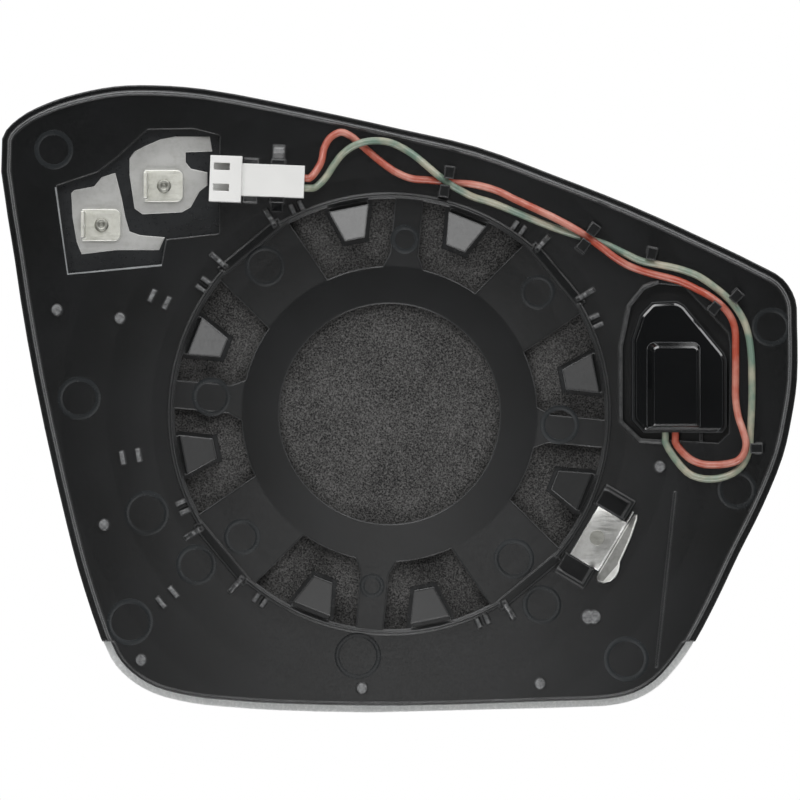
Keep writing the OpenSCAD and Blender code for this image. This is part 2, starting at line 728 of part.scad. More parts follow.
// Heights above the hub: plate, lid, underside of the lid, board, middle of the wires
indicator_z = back_z(at(indicator_place));
lid_top = indicator_z + lid_rise;
case_lift = lid_top - lid_t;
board_z = indicator_z - film_d + diffuser_t + led_h + led_room;
exit_z = case_lift - wire_d / 2 - 2 * seal_play;
module indicator_frame() { translate([at(indicator_place).x, at(indicator_place).y, 0]) children(); }
module indicator_box(top) {
    // Upright box on the glass, cut to its curve below and flat on top
    intersection() {
        layer(tall, -film_d);
        translate([0, 0, -tall / 2]) linear_extrude(tall / 2 + top) children();
    }
}
module seal_frame() { translate([seal_at.x, seal_at.y, 0]) children(); }
module diffuser_shape() {
    translate(diffuser_place - [diffuser_w, diffuser_l] / 2) square([diffuser_w, diffuser_l]);
}
module indicator_housing() {
    color([0.08, 0.08, 0.09]) difference() {
        indicator_box(case_lift) polygon(case_loop);
        // Room for the board, on a ledge
        translate([0, 0, board_z]) linear_extrude(tall) polygon(inset(case_loop, case_t));
        indicator_frame() {
            // Light shaft down to the diffuser
            translate([0, 0, -tall / 2]) linear_extrude(tall) diffuser_shape();
        }
        // Gap for the wire seal
        seal_frame() translate([-seal_l, -cut, board_z + board_t])
            cube([2 * seal_l, case_t + 2 * cut, tall]);
    }
}
module indicator_diffuser() {
    color("white") intersection() {
        layer(diffuser_t - film_d, -film_d);
        indicator_frame() prism() diffuser_shape();
    }
}
module indicator_board() {
    color("darkgreen") translate([0, 0, board_z]) linear_extrude(board_t)
        polygon(inset(case_loop, case_t));
}
module indicator_leds() {
    color("lemonchiffon") indicator_frame() for (i = [0:led_count - 1])
        translate([diffuser_place.x, diffuser_place.y + (i - 1) * led_gap, board_z - led_h] - led_half)
            cube([led_w, led_w, led_h]);
}
module indicator_lid() {
    color([0.05, 0.05, 0.06]) {
        translate([0, 0, case_lift]) linear_extrude(lid_t) polygon(inset(case_loop, lid_inset));
        hull() {
            translate([0, 0, lid_top - lid_t / 2]) linear_extrude(lid_t / 2)
                polygon(moved(indicator_place, lid_box_foot));
            translate([0, 0, lid_top + box_h - box_brim]) linear_extrude(box_brim)
                polygon(moved(indicator_place, lid_box_top));
        }
    }
}
module indicator_seal() {
    color([0.15, 0.15, 0.15]) seal_frame() difference() {
        translate([-seal_l, 0, board_z + board_t])
            cube([2 * seal_l, case_t, case_lift - board_z - board_t]);
        for (s = [-1, 1]) translate([s * wire_pitch / 2, -cut, exit_z])
            rotate([-90, 0, 0]) cylinder(r = wire_d / 2 + seal_play, h = case_t + 2 * cut, $fn = small_fn);
    }
}

/* Wires */

// Routes as places on the plate with the height of the wire's middle above it
wire_sides = 8;
// Straight length of a wire where it leaves a housing
wire_stub = 1.2;
red_route = [
    [-17.6, 58.2, 2.8], [-16.3, 60.7, 2.2], [-15.7, 63.7, 1.4], [-14.1, 66.4, 1], [-11.6, 67.6, 1],
    [-9.2, 66.6, 1], [-7.3, 65, 1], [-4.9, 62.9, 1], [-1.9, 60.4, 1], [1.8, 57.9, 1], [5.4, 56.5, 1],
    [9.1, 56.2, 1], [12.1, 55.9, 1], [15.9, 55.4, 1], [19.3, 55.2, 1], [22.9, 54.5, 1], [26.5, 53.3, 1],
    [29.9, 51.6, 1.4], [35.4, 49, 2.4], [40.9, 46.3, 3], [46, 43.4, 3], [51, 39.8, 3], [54.2, 37.4, 2.4],
    [57.5, 35.5, 1.4], [61.7, 34, 1], [65.1, 33.1, 1], [69.5, 31.9, 1], [73.8, 29.9, 1], [76.7, 28.3, 1.4],
    [79.6, 26, 1.8], [81.6, 23.6, 1.4], [82.8, 20.6, 1], [83, 15, 1], [83, 9, 1], [83, 3.8, 1],
    [83.6, -0.5, 1.4], [84.8, -4.3, 2.4], [85.4, -7, 3], [84.9, -9.4, 3], [83.6, -11, 2.8],
    [81.6, -11.8, 2.2], [78.1, -12.2, 1.2], [74.6, -11.9, 1], [71.6, -10.4, 1]];
green_route = [
    [-17.9, 54.3, 2.8], [-15.4, 56.6, 2.2], [-13.3, 59.8, 2], [-11.2, 62.4, 2.4], [-8.3, 64.4, 3],
    [-4.9, 65.4, 3], [-0.6, 65.3, 2], [2.6, 64.1, 1.4], [6.1, 61.9, 1.6], [9.1, 59.4, 2.4], [11.9, 57, 3],
    [14.6, 55, 3], [17.4, 53.4, 2.2], [20.4, 52, 1.2], [24.4, 50.8, 1], [29.9, 48.6, 1], [35.4, 46.3, 1],
    [40.9, 44.2, 1], [46.2, 42.5, 1], [51.6, 40.8, 1], [56.5, 38.5, 1], [60.5, 36.7, 1], [64.9, 35.8, 1],
    [69.8, 34.7, 1], [74.2, 33, 1], [78.4, 30.1, 1], [82, 26.9, 1], [84.5, 23.3, 1], [85.9, 19.7, 1],
    [86.7, 14.6, 1], [86.9, 9, 1], [86.9, 3.4, 1], [86.6, -3.5, 1], [86.2, -8.6, 1], [84.7, -12.2, 1],
    [82.2, -14.3, 1], [79, -15.4, 1], [75.2, -15.5, 1], [71.4, -14, 1]];

function lifted(p) = let (q = at([p.x, p.y])) [q.x, q.y, back_z(q) + p.z];
function turned(v, a) = [v.x * cos(a) - v.y * sin(a), v.x * sin(a) + v.y * cos(a)];
// A point in the connector's frame, given along its length and across it
function plug_point(x, y) =
    let (q = connector_place + turned([x, y], connector_turn)) [q.x, q.y, connector_z + wire_lift];
function case_point(s, y) =
    let (q = seal_at + [s * wire_pitch / 2, y]) [q.x, q.y, exit_z];
function route(points, s_plug, s_case) = concat(
    [plug_point(connector_l / 2 - wire_hole_l, wire_y(s_plug)), plug_point(connector_l / 2, wire_y(s_plug)),
     plug_point(connector_l / 2 + wire_stub, wire_y(s_plug))],
    [for (p = points) lifted(p)],
    [case_point(s_case, -2 * wire_stub), case_point(s_case, -wire_stub), case_point(s_case, case_t)]);

// Tube swept along a route: one ring at every point, square to the way the wire runs there
function heading(p, i) = unit(p[min(i + 1, len(p) - 1)] - p[max(i - 1, 0)]);
function ring(p, i, r) =
    let (t = heading(p, i), side = unit(cross(t, [0, 0, 1])), up = cross(side, t))
    [for (k = [0:wire_sides - 1]) let (a = (k + 0.5) * 360 / wire_sides)
        p[i] + r * (cos(a) * side + sin(a) * up)];
module wire(p) {
    n = wire_sides;
    last = len(p) - 1;
    points = [for (i = [0:last], q = ring(p, i, wire_d / 2)) q];
    sides = [for (i = [0:last - 1], k = [0:n - 1], h = [0, 1])
        let (a = i * n + k, b = i * n + (k + 1) % n)
        h == 0 ? [a, b, b + n] : [a, b + n, a + n]];
    ends = [[for (k = [n - 1:-1:0]) k], [for (k = [0:n - 1]) last * n + k]];
    polyhedron(points, concat(sides, ends));
}
module wire_red() { color([0.86, 0.3, 0.22]) wire(route(red_route, 1, 1)); }
module wire_green() { color([0.45, 0.6, 0.5]) wire(route(green_route, -1, -1)); }

/* Spring clip */

fold_h = 3;
leaf_lean = 28;
leaf_l = 15;
leaf_drop = -1.6;
tab_r = 2.6;
fold_overlap = 0.2;
spot_x = -0.4;
spring_shank_r = 1;
spring_head_r = 1.8;
spring_head_h = 0.6;
module spring_clip() {
    color("lightgray") spring_frame() {
        difference() {
            translate([-spring_w / 2, -spring_l / 2, 0]) cube([spring_w, spring_l, spring_t]);
            translate([spot_x, 0, -cut]) cylinder(r = spring_shank_r, h = 3 * cut, $fn = small_fn);
        }
        // Fold at the outer edge, and the leaf that leans away from it
        translate([spring_w / 2 - spring_t, -spring_l / 2, 0]) cube([spring_t, spring_l, fold_h / 2]);
        translate([spring_w / 2 - spring_t, 0, fold_h / 2 - fold_overlap]) rotate([0, leaf_lean, 0]) {
            translate([0, -leaf_l / 2 + leaf_drop, 0]) cube([spring_t, leaf_l, fold_h]);
            translate([0, -leaf_l / 2 + leaf_drop + tab_r, fold_h]) rotate([0, 90, 0])
                cylinder(r = tab_r, h = spring_t);
        }
    }
}
module spring_rivet() {
    color("gray") spring_frame() translate([spot_x, 0, 0]) {
        cylinder(r = spring_shank_r, h = spring_t + rivet_shank_proud, $fn = small_fn);
        translate([0, 0, spring_t]) cylinder(r = spring_head_r, h = spring_head_h, $fn = small_fn);
    }
}

mirror_glass();
heater_film();
foam_pad();
carrier_plate();
heater_land_upper();
heater_land_lower();
terminal_upper();
terminal_lower();
terminal_rivets();
connector_housing();
connector_contacts();
wire_red();
wire_green();
indicator_housing();
indicator_lid();
indicator_board();
indicator_leds();
indicator_diffuser();
indicator_seal();
spring_clip();
spring_rivet();
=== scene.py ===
"""Looks of a heated door mirror glass lying on its face: finishes, detail pieces, studio and camera."""
import logging
import math
from dataclasses import dataclass
from enum import Enum, IntEnum
from functools import cache, reduce

import bmesh
import bpy
from mathutils import Matrix, Vector


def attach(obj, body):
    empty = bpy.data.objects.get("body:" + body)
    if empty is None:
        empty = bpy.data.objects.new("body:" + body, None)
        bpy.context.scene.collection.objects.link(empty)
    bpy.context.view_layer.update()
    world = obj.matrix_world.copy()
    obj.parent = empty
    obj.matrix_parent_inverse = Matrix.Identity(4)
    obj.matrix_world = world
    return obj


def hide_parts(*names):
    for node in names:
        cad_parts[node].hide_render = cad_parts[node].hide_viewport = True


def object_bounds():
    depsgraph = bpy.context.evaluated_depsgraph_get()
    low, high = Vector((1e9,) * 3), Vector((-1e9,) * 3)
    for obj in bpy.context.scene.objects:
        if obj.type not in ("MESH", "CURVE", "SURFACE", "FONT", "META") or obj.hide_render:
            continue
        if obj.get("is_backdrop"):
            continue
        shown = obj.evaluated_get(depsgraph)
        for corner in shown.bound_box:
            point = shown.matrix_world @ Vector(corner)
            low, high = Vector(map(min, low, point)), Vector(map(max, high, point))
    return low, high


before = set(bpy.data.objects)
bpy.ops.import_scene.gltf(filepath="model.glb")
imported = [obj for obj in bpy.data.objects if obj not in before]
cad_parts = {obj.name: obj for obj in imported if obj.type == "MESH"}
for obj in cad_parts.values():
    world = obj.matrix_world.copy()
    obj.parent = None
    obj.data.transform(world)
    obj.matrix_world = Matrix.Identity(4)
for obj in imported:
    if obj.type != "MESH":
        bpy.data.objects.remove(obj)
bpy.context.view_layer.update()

MM = 0.001
BODY = "root"
log = logging.getLogger("mirror_glass")
# The convex form in millimetres: its radius, the radius of its flat hub, and the bare edge's upper end
BOW_R = 1400.0
HUB_R = 35.6
BARE_BELOW = -54.6
# Where most values of a noise lie
NOISE_SPAN = (0.3, 0.7)
# Cosine between true and rounded normal at which an edge counts in full, and where it ends
EDGE_SPAN = (0.78, 0.995)
Socket = bpy.types.NodeSocket
BMesh = bmesh.types.BMesh


def linear(code: str) -> tuple[float, float, float, float]:
    """Turns an sRGB hex colour such as "#1a1b1c" into linear RGBA with an alpha of 1."""
    parts = [int(code[i:i + 2], 16) / 255 for i in (1, 3, 5)]
    return (*[c / 12.92 if c <= 0.04045 else ((c + 0.055) / 1.055) ** 2.4 for c in parts], 1.0)


def per_mm(size: float) -> float:
    """Gives the texture scale at which one feature of a pattern measures size millimetres."""
    return 1 / (size * MM)


class Shader:
    """A procedural material under construction: its node tree, its Principled node and its place."""

    def __init__(self, name: str) -> None:
        """Starts an empty material.

        Args:
            name: the material's name, from the real material and process.
        """
        self.material = bpy.data.materials.new(name)
        self.material.use_nodes = True
        self.tree = self.material.node_tree
        self.tree.nodes.clear()
        self.skin = self.add("ShaderNodeBsdfPrincipled")
        self.out = self.add("ShaderNodeOutputMaterial", {"Surface": self.skin.outputs["BSDF"]})
        self.place = self.add("ShaderNodeTexCoord").outputs["Object"]

    def add(self, kind: str, inputs: dict | None = None, **settings: object) -> bpy.types.Node:
        """Adds one node.

        Args:
            kind: Blender's type name of the node.
            inputs: value or socket for each input, by name or number.
            settings: attributes of the node.

        Returns:
            The new node.
        """
        node = self.tree.nodes.new(kind)
        for key, value in settings.items():
            setattr(node, key, value)
        self.feed(node, inputs or {})
        return node

    def feed(self, node: bpy.types.Node, inputs: dict) -> None:
        """Sets or links a node's inputs.

        Args:
            node: the node.
            inputs: value or socket for each input, by name or number.
        """
        for key, value in inputs.items():
            if isinstance(value, bpy.types.NodeSocket):
                self.tree.links.new(value, node.inputs[key])
            else:
                node.inputs[key].default_value = value

    def noise(self, size: float, detail: float, roughness: float, place: Socket | None = None) -> Socket:
        """Adds cloudy noise with features of a size in millimetres, on the object's coordinates or others."""
        return self.add("ShaderNodeTexNoise", {
            "Vector": self.place if place is None else place, "Scale": per_mm(size), "Detail": detail,
            "Roughness": roughness}).outputs[0]

    def spread(self, value: Socket, low: float, high: float, first: float = 0.0, last: float = 1.0) -> Socket:
        """Turns the range from low to high into the one from first to last, and holds the rest there."""
        ends = {"From Min": low, "From Max": high, "To Min": first, "To Max": last}
        return self.add("ShaderNodeMapRange", {"Value": value, **ends}).outputs["Result"]

    def maths(self, operation: str, *values: float | Socket) -> Socket:
        """Adds a maths node and gives its result."""
        return self.add("ShaderNodeMath", dict(enumerate(values)), operation=operation).outputs[0]

    def blend(self, share: float | Socket, first: str | Socket, second: str | Socket) -> Socket:
        """Blends two colours, each a socket or an sRGB hex colour."""
        low, high = (linear(colour) if isinstance(colour, str) else colour for colour in (first, second))
        return self.add("ShaderNodeMix", {0: share, 6: low, 7: high}, data_type="RGBA").outputs[2]

    def bump(self, height: Socket, strength: float, depth: float, **inputs: Socket) -> Socket:
        """Gives the normal of a surface that a pattern raises by a depth in millimetres."""
        return self.add("ShaderNodeBump", {
            "Strength": strength, "Distance": depth * MM, "Height": height, **inputs}).outputs["Normal"]

    def stretched(self, turn: float, scale: tuple) -> Socket:
        """Gives the coordinates turned about +Z and scaled, for a pattern that runs in streaks."""
        return self.add("ShaderNodeMapping", {
            "Vector": self.place, "Rotation": (0.0, 0.0, turn), "Scale": scale}).outputs["Vector"]

    def radius(self, x: float = 0.0, y: float = 0.0) -> Socket:
        """Gives the distance from an upright axis at a place in millimetres."""
        level = self.add("ShaderNodeVectorMath", {0: self.place, 1: (1.0, 1.0, 0.0)}, operation="MULTIPLY")
        return self.add("ShaderNodeVectorMath", {
            0: level.outputs[0], 1: (x * MM, y * MM, 0.0)}, operation="DISTANCE").outputs["Value"]

    def edge(self, radius_mm: float) -> tuple[Socket, Socket]:
        """Rounds the shading at edges and finds them.

        Args:
            radius_mm: radius of the rounding.

        Returns:
            The rounded normal and a mask that is 1 along edges.
        """
        rounded = self.add("ShaderNodeBevel", {"Radius": radius_mm * MM}, samples=6).outputs["Normal"]
        flat = self.add("ShaderNodeNewGeometry").outputs["Normal"]
        turn = self.add("ShaderNodeVectorMath", {0: rounded, 1: flat}, operation="DOT_PRODUCT")
        return rounded, self.spread(turn.outputs["Value"], *EDGE_SPAN, 1.0, 0.0)


@dataclass(frozen=True)
class Surface:
    """A finish, named for the real material and process."""

    name: str

    def build(self) -> bpy.types.Material:
        """Builds the finish.

        Returns:
            Its material.
        """
        s = Shader(self.name)
        self.paint(s)
        return s.material

    def paint(self, s: Shader) -> None:
        """Adds the finish's nodes.

        Args:
            s: the material.
        """
        raise NotImplementedError


@dataclass(frozen=True)
class MouldedPlastic(Surface):
    """Injection-moulded thermoplastic: cloudy flow marks, eroded grain, fine scratches, and a painted
    highlight on its edges.

    The eye sees a soft broken sheen instead of one flat tone, and a thin painted bright line on every rim.
    """

    colour: str
    cloud: str
    # Colour of the painted highlight along the edges
    rim_highlight: str
    roughness: float
    grain_mm: float = 0.5
    grain_depth: float = 0.012
    cloud_mm: float = 24.0
    edge_mm: float = 0.3
    rim_highlight_share: float = 0.6
    ior: float = 1.5
    coat: float = 0.0
    scratch_mm: float = 9.0
    scratch_run: tuple = (1.0, 22.0, 1.0)
    scratch_turn: float = 0.5

    def paint(self, s: Shader) -> None:
        """Adds the finish's nodes.

        Args:
            s: the material.
        """
        normal, rim = s.edge(self.edge_mm)
        cloud = s.noise(self.cloud_mm, 3.0, 0.55)
        # The eroded grain of the mould is about 0.05 mm; it is drawn ten times as coarse so that it shows
        grain = s.noise(self.grain_mm, 2.0, 0.6)
        scratch = s.noise(self.scratch_mm, 1.0, 0.4, s.stretched(self.scratch_turn, self.scratch_run))
        body = s.blend(s.spread(cloud, 0.35, 0.65), self.colour, self.cloud)
        rough = s.spread(grain, *NOISE_SPAN, self.roughness * 0.85, self.roughness * 1.15)
        s.feed(s.skin, {
            # The base colour blends towards the painted rim highlight along the edges
            "Base Color": s.blend(self.highlight_mask(s, rim, cloud), body, self.rim_highlight),
            "Roughness": s.maths("MULTIPLY_ADD", s.spread(scratch, 0.66, 0.72), 0.1 * self.roughness, rough),
            "Normal": s.bump(grain, 0.6, self.grain_depth, Normal=normal),
            "IOR": self.ior, "Coat Weight": self.coat, "Coat Roughness": 0.12})

    def highlight_mask(self, s: Shader, rim: Socket, cloud: Socket) -> Socket:
        """Gives the mask of the painted highlight on the edges: the rim, broken up by the broad noise."""
        shine = s.maths("MULTIPLY", s.maths("MULTIPLY", rim, cloud), 2 * self.rim_highlight_share)
        return s.maths("MINIMUM", shine, 1.0)


@dataclass(frozen=True)
class HighlitPlate(MouldedPlastic):
    """Moulded plastic of the bowed carrier, whose lip, ribs, posts and guides get a painted pale highlight on
    top.

    The eye sees small painted grey tops and a painted grey line round the rim, on a plate that stays dark.
    """

    bars_r: float = 54.3
    ring_r: float = 53.2
    ring_top: tuple = (1.7, 1.9)
    pocket: tuple = (50.2, -29.9)
    pocket_r: float = 11.5
    # Width over which a mask by radius runs out
    fade: float = 0.3
    # Heights at which the lip's painted highlight starts, is full, starts to end and ends
    lip: tuple = (0.3, 0.45, 0.75, 0.9)
    lip_highlight: float = 0.75
    tall_mm: float = 3.0
    # Height above the plate in millimetres and how strong the painted pale highlight is there
    tops: tuple = ((0.3, 0.0), (0.45, 0.14), (0.8, 0.14), (1.25, 0.08), (1.4, 0.42), (1.56, 0.42),
                   (1.7, 0.26), (2.34, 0.26), (2.45, 0.015))
    mottle_mm: float = 0.9
    mottle_gain: float = 2.4
    mottle_loss: float = 0.25

    def highlight_mask(self, s: Shader, rim: Socket, cloud: Socket) -> Socket:
        """Adds a painted highlight on what stands proud of the plate to the painted highlight of the edges.

        Args:
            s: the material.
            rim: mask of its edges.
            cloud: broad noise that breaks the painted highlight up.

        Returns:
            The mask of the painted highlight.
        """
        def above(value: Socket, low: float, high: float) -> Socket:
            """Gives 0 below one height or radius in millimetres and 1 above the other."""
            return s.spread(value, low * MM, high * MM)

        def product(*masks: float | Socket) -> Socket:
            """Multiplies masks."""
            return reduce(lambda one, other: s.maths("MULTIPLY", one, other), masks)

        at = s.add("ShaderNodeSeparateXYZ", {"Vector": s.place}).outputs
        away = s.radius()
        fall = s.maths("SQRT", s.maths("SUBTRACT", (BOW_R * MM) ** 2, product(away, away)))
        flat = math.sqrt(BOW_R ** 2 - HUB_R ** 2) * MM
        height = s.maths("SUBTRACT", at[2], s.maths("MAXIMUM", s.maths("SUBTRACT", flat, fall), 0.0))
        # Outside the seat ring's bars, and on the ring's own top
        outside = s.maths("MAXIMUM", above(away, self.bars_r, self.bars_r + self.fade), product(
            above(away, self.ring_r, self.ring_r + self.fade), above(height, *self.ring_top)))
        # Only faces that look up get the painted highlight on the tops
        normal = s.add("ShaderNodeTexCoord").outputs["Normal"]
        facing = s.spread(s.add("ShaderNodeSeparateXYZ", {"Vector": normal}).outputs[2], 0.6, 0.8)
        ramp = s.add("ShaderNodeValToRGB", {0: s.maths("DIVIDE", height, self.tall_mm * MM)})
        stops = ramp.color_ramp.elements
        for i, (level, share) in enumerate(self.tops):
            stop = stops[i] if i < 2 else stops.new(1.0)
            stop.position, stop.color = level / self.tall_mm, (share, share, share, 1.0)
        # The lip along the bare edge gets no painted highlight
        dull = s.maths("MAXIMUM", above(at[1], BARE_BELOW - 1, BARE_BELOW + 1), above(height, 1.0, 1.2))
        # Noise that breaks the painted highlight on the tops into patches
        mottle = s.maths("MULTIPLY", s.noise(self.mottle_mm, 2.0, 0.6), self.mottle_gain)
        patchy = s.maths("SUBTRACT", mottle, self.mottle_loss)
        clear = above(s.radius(*self.pocket), self.pocket_r, self.pocket_r + self.fade)
        proud = product(ramp.outputs["Color"], outside, clear, patchy, facing, dull)
        low = s.maths("SUBTRACT", 1.0, above(height, *self.lip[2:]))
        lip = product(above(height, *self.lip[:2]), outside, dull, low, rim, self.lip_highlight)
        return s.maths("MAXIMUM", s.maths("MAXIMUM", proud, lip), super().highlight_mask(s, rim, cloud))


@dataclass(frozen=True)
class OpenFoam(Surface):
    """Open-pored adhesive foam: dark cell walls with lighter torn fibres, quite without gloss.

    The eye sees a coarse salt-and-pepper speckle that sets it off from the smooth plastic round it.
    """

    dark: str
    light: str
    # The pores are about 0.2 mm; they are drawn twice as coarse so that they show
    cell_mm: float = 0.42
    cell_share: float = 0.35
    patch_mm: float = 11.0
    patch_share: float = 0.2
    bore_r: float = 28.0
    shade: float = 0.85

    def paint(self, s: Shader) -> None:
        """Adds the finish's nodes.

        Args:
            s: the material.
        """
        cells = s.add("ShaderNodeTexVoronoi", {
            "Vector": s.place, "Scale": per_mm(self.cell_mm), "Randomness": 1.0}, feature="F1")
        relief = s.maths("MULTIPLY_ADD", cells.outputs["Distance"], self.cell_share,
                         s.noise(self.cell_mm, 3.0, 0.8))
        uneven = s.maths("MULTIPLY_ADD", s.noise(self.patch_mm, 2.0, 0.5), self.patch_share, relief)
        # The pad under the windows is painted darker as shade, outside the disc inside the bore
        skin = s.spread(s.radius(), (self.bore_r - 1) * MM, (self.bore_r + 1) * MM, 1.0, self.shade)
        shaded_share = s.maths("MULTIPLY", s.spread(uneven, 0.62, 1.04), skin)
        s.feed(s.skin, {
            "Base Color": s.blend(shaded_share, self.dark, self.light), "Roughness": 0.95, "IOR": 1.45,
            "Normal": s.bump(relief, 0.9, 0.25)})


@dataclass(frozen=True)
class SheetMetal(Surface):
    """Stamped or printed metal: rolling streaks, small stains, a painted bright highlight along its edges."""

    colour: str
    stain: str
    # Colour of the painted highlight along the edges
    rim: str
    roughness: float
    streak_mm: float = 0.35
    streak_turn: float = 0.0
    streak_run: tuple = (0.08, 1.0, 1.0)
    stain_mm: float = 1.6
    metallic: float = 1.0
    edge_mm: float = 0.3
    edge_shine: float = 0.8
    depth: float = 0.006

    def paint(self, s: Shader) -> None:
        """Adds the finish's nodes.

        Args:
            s: the material.
        """
        normal, rim = s.edge(self.edge_mm)
        streak = s.noise(self.streak_mm, 2.0, 0.5, s.stretched(self.streak_turn, self.streak_run))
        dirt = s.spread(s.noise(self.stain_mm, 4.0, 0.65), 0.45, 0.75, 0.0, 0.7)
        body = s.blend(dirt, self.colour, self.stain)
        s.feed(s.skin, {
            # The edges blend towards the painted highlight colour
            "Base Color": s.blend(s.maths("MULTIPLY", rim, self.edge_shine), body, self.rim),
            "Metallic": self.metallic,
            "Roughness": s.spread(streak, *NOISE_SPAN, self.roughness * 0.8, self.roughness * 1.2),
            "Normal": s.bump(streak, 0.5, self.depth, Normal=normal)})


@dataclass(frozen=True)
class Insulation(Surface):
    """Extruded wire insulation: glossy soft vinyl with faint drawing marks and a paler bloom, partly painted
    highlight.
    """

    colour: str
    bloom_and_sheen: str
    roughness: float = 0.3
    bloom_and_sheen_mm: float = 7.0
    drawn_mm: float = 0.8

    def paint(self, s: Shader) -> None:
        """Adds the finish's nodes.

        Args:
            s: the material.
        """
        # The pale bloom is partly real bloom and partly painted highlight
        share = s.spread(s.noise(self.bloom_and_sheen_mm, 3.0, 0.6), 0.38, 0.72, 0.0, 0.7)
        drawn = s.noise(self.drawn_mm, 2.0, 0.5)
        s.feed(s.skin, {
            "Base Color": s.blend(share, self.colour, self.bloom_and_sheen), "IOR": 1.53,
            "Roughness": s.spread(drawn, *NOISE_SPAN, self.roughness * 0.8, self.roughness * 1.25),
            "Normal": s.bump(drawn, 0.35, 0.02)})


@dataclass(frozen=True)
class SilveredGlass(Surface):
    """Vacuum-silvered convex float glass: a clean mirror with a trace of dust and wiping marks."""

    name: str = "silvered_float_glass"
    colour: str = "#dfe4e4"
    dust: str = "#d3dadb"
    haze_mm: float = 30.0

    def paint(self, s: Shader) -> None:
        """Adds the finish's nodes.

        Args:
            s: the material.
        """
        haze = s.noise(self.haze_mm, 4.0, 0.6)
        s.feed(s.skin, {
            "Base Color": s.blend(haze, self.colour, self.dust), "Metallic": 1.0,
            "Roughness": s.spread(haze, 0.4, 0.8, 0.015, 0.06), "Coat Weight": 0.6, "Coat Roughness": 0.01})


@dataclass(frozen=True)
class GroundGlass(Surface):
    """Wheel-ground glass edge and its grey backing paint: a frosted pale band with small chips."""

    colour: str
    chip: str
    roughness: float = 0.5
    edge_mm: float = 0.35
    grit_mm: float = 0.7

    def paint(self, s: Shader) -> None:
        """Adds the finish's nodes.

        Args:
            s: the material.
        """
        normal, rim = s.edge(self.edge_mm)
        grit = s.noise(self.grit_mm, 4.0, 0.7)
        cover = s.maths("MAXIMUM", s.spread(grit, 0.45, 0.7, 0.0, 0.8), rim)
        s.feed(s.skin, {
            "Base Color": s.blend(cover, self.colour, self.chip), "Roughness": self.roughness, "IOR": 1.52,
            "Normal": s.bump(grit, 0.5, 0.03, Normal=normal)})


@dataclass(frozen=True)
class StudioPaper(Surface):
    """Pale seamless paper under the part: faint fibre, plain white where camera or gloss looks past it."""

    name: str = "seamless_paper"
    colour: str = "#f2f2f0"
    shadow: str = "#ecece9"
    fibre_mm: float = 3.0

    def paint(self, s: Shader) -> None:
        """Adds the finish's nodes.

        Args:
            s: the material.
        """
        body = s.blend(s.noise(self.fibre_mm, 4.0, 0.6), self.colour, self.shadow)
        s.feed(s.skin, {"Base Color": body, "Roughness": 0.9, "IOR": 1.4})
        rays = s.add("ShaderNodeLightPath").outputs
        through = s.maths("MAXIMUM", rays["Is Glossy Ray"], rays["Is Transmission Ray"])
        seen = s.maths("MAXIMUM", rays["Is Camera Ray"], through)
        white = s.add("ShaderNodeEmission", {"Color": (1.0, 1.0, 1.0, 1.0), "Strength": 1.0})
        both = s.add("ShaderNodeMixShader", {
            0: seen, 1: s.skin.outputs["BSDF"], 2: white.outputs["Emission"]})
        s.feed(s.out, {"Surface": both.outputs["Shader"]})


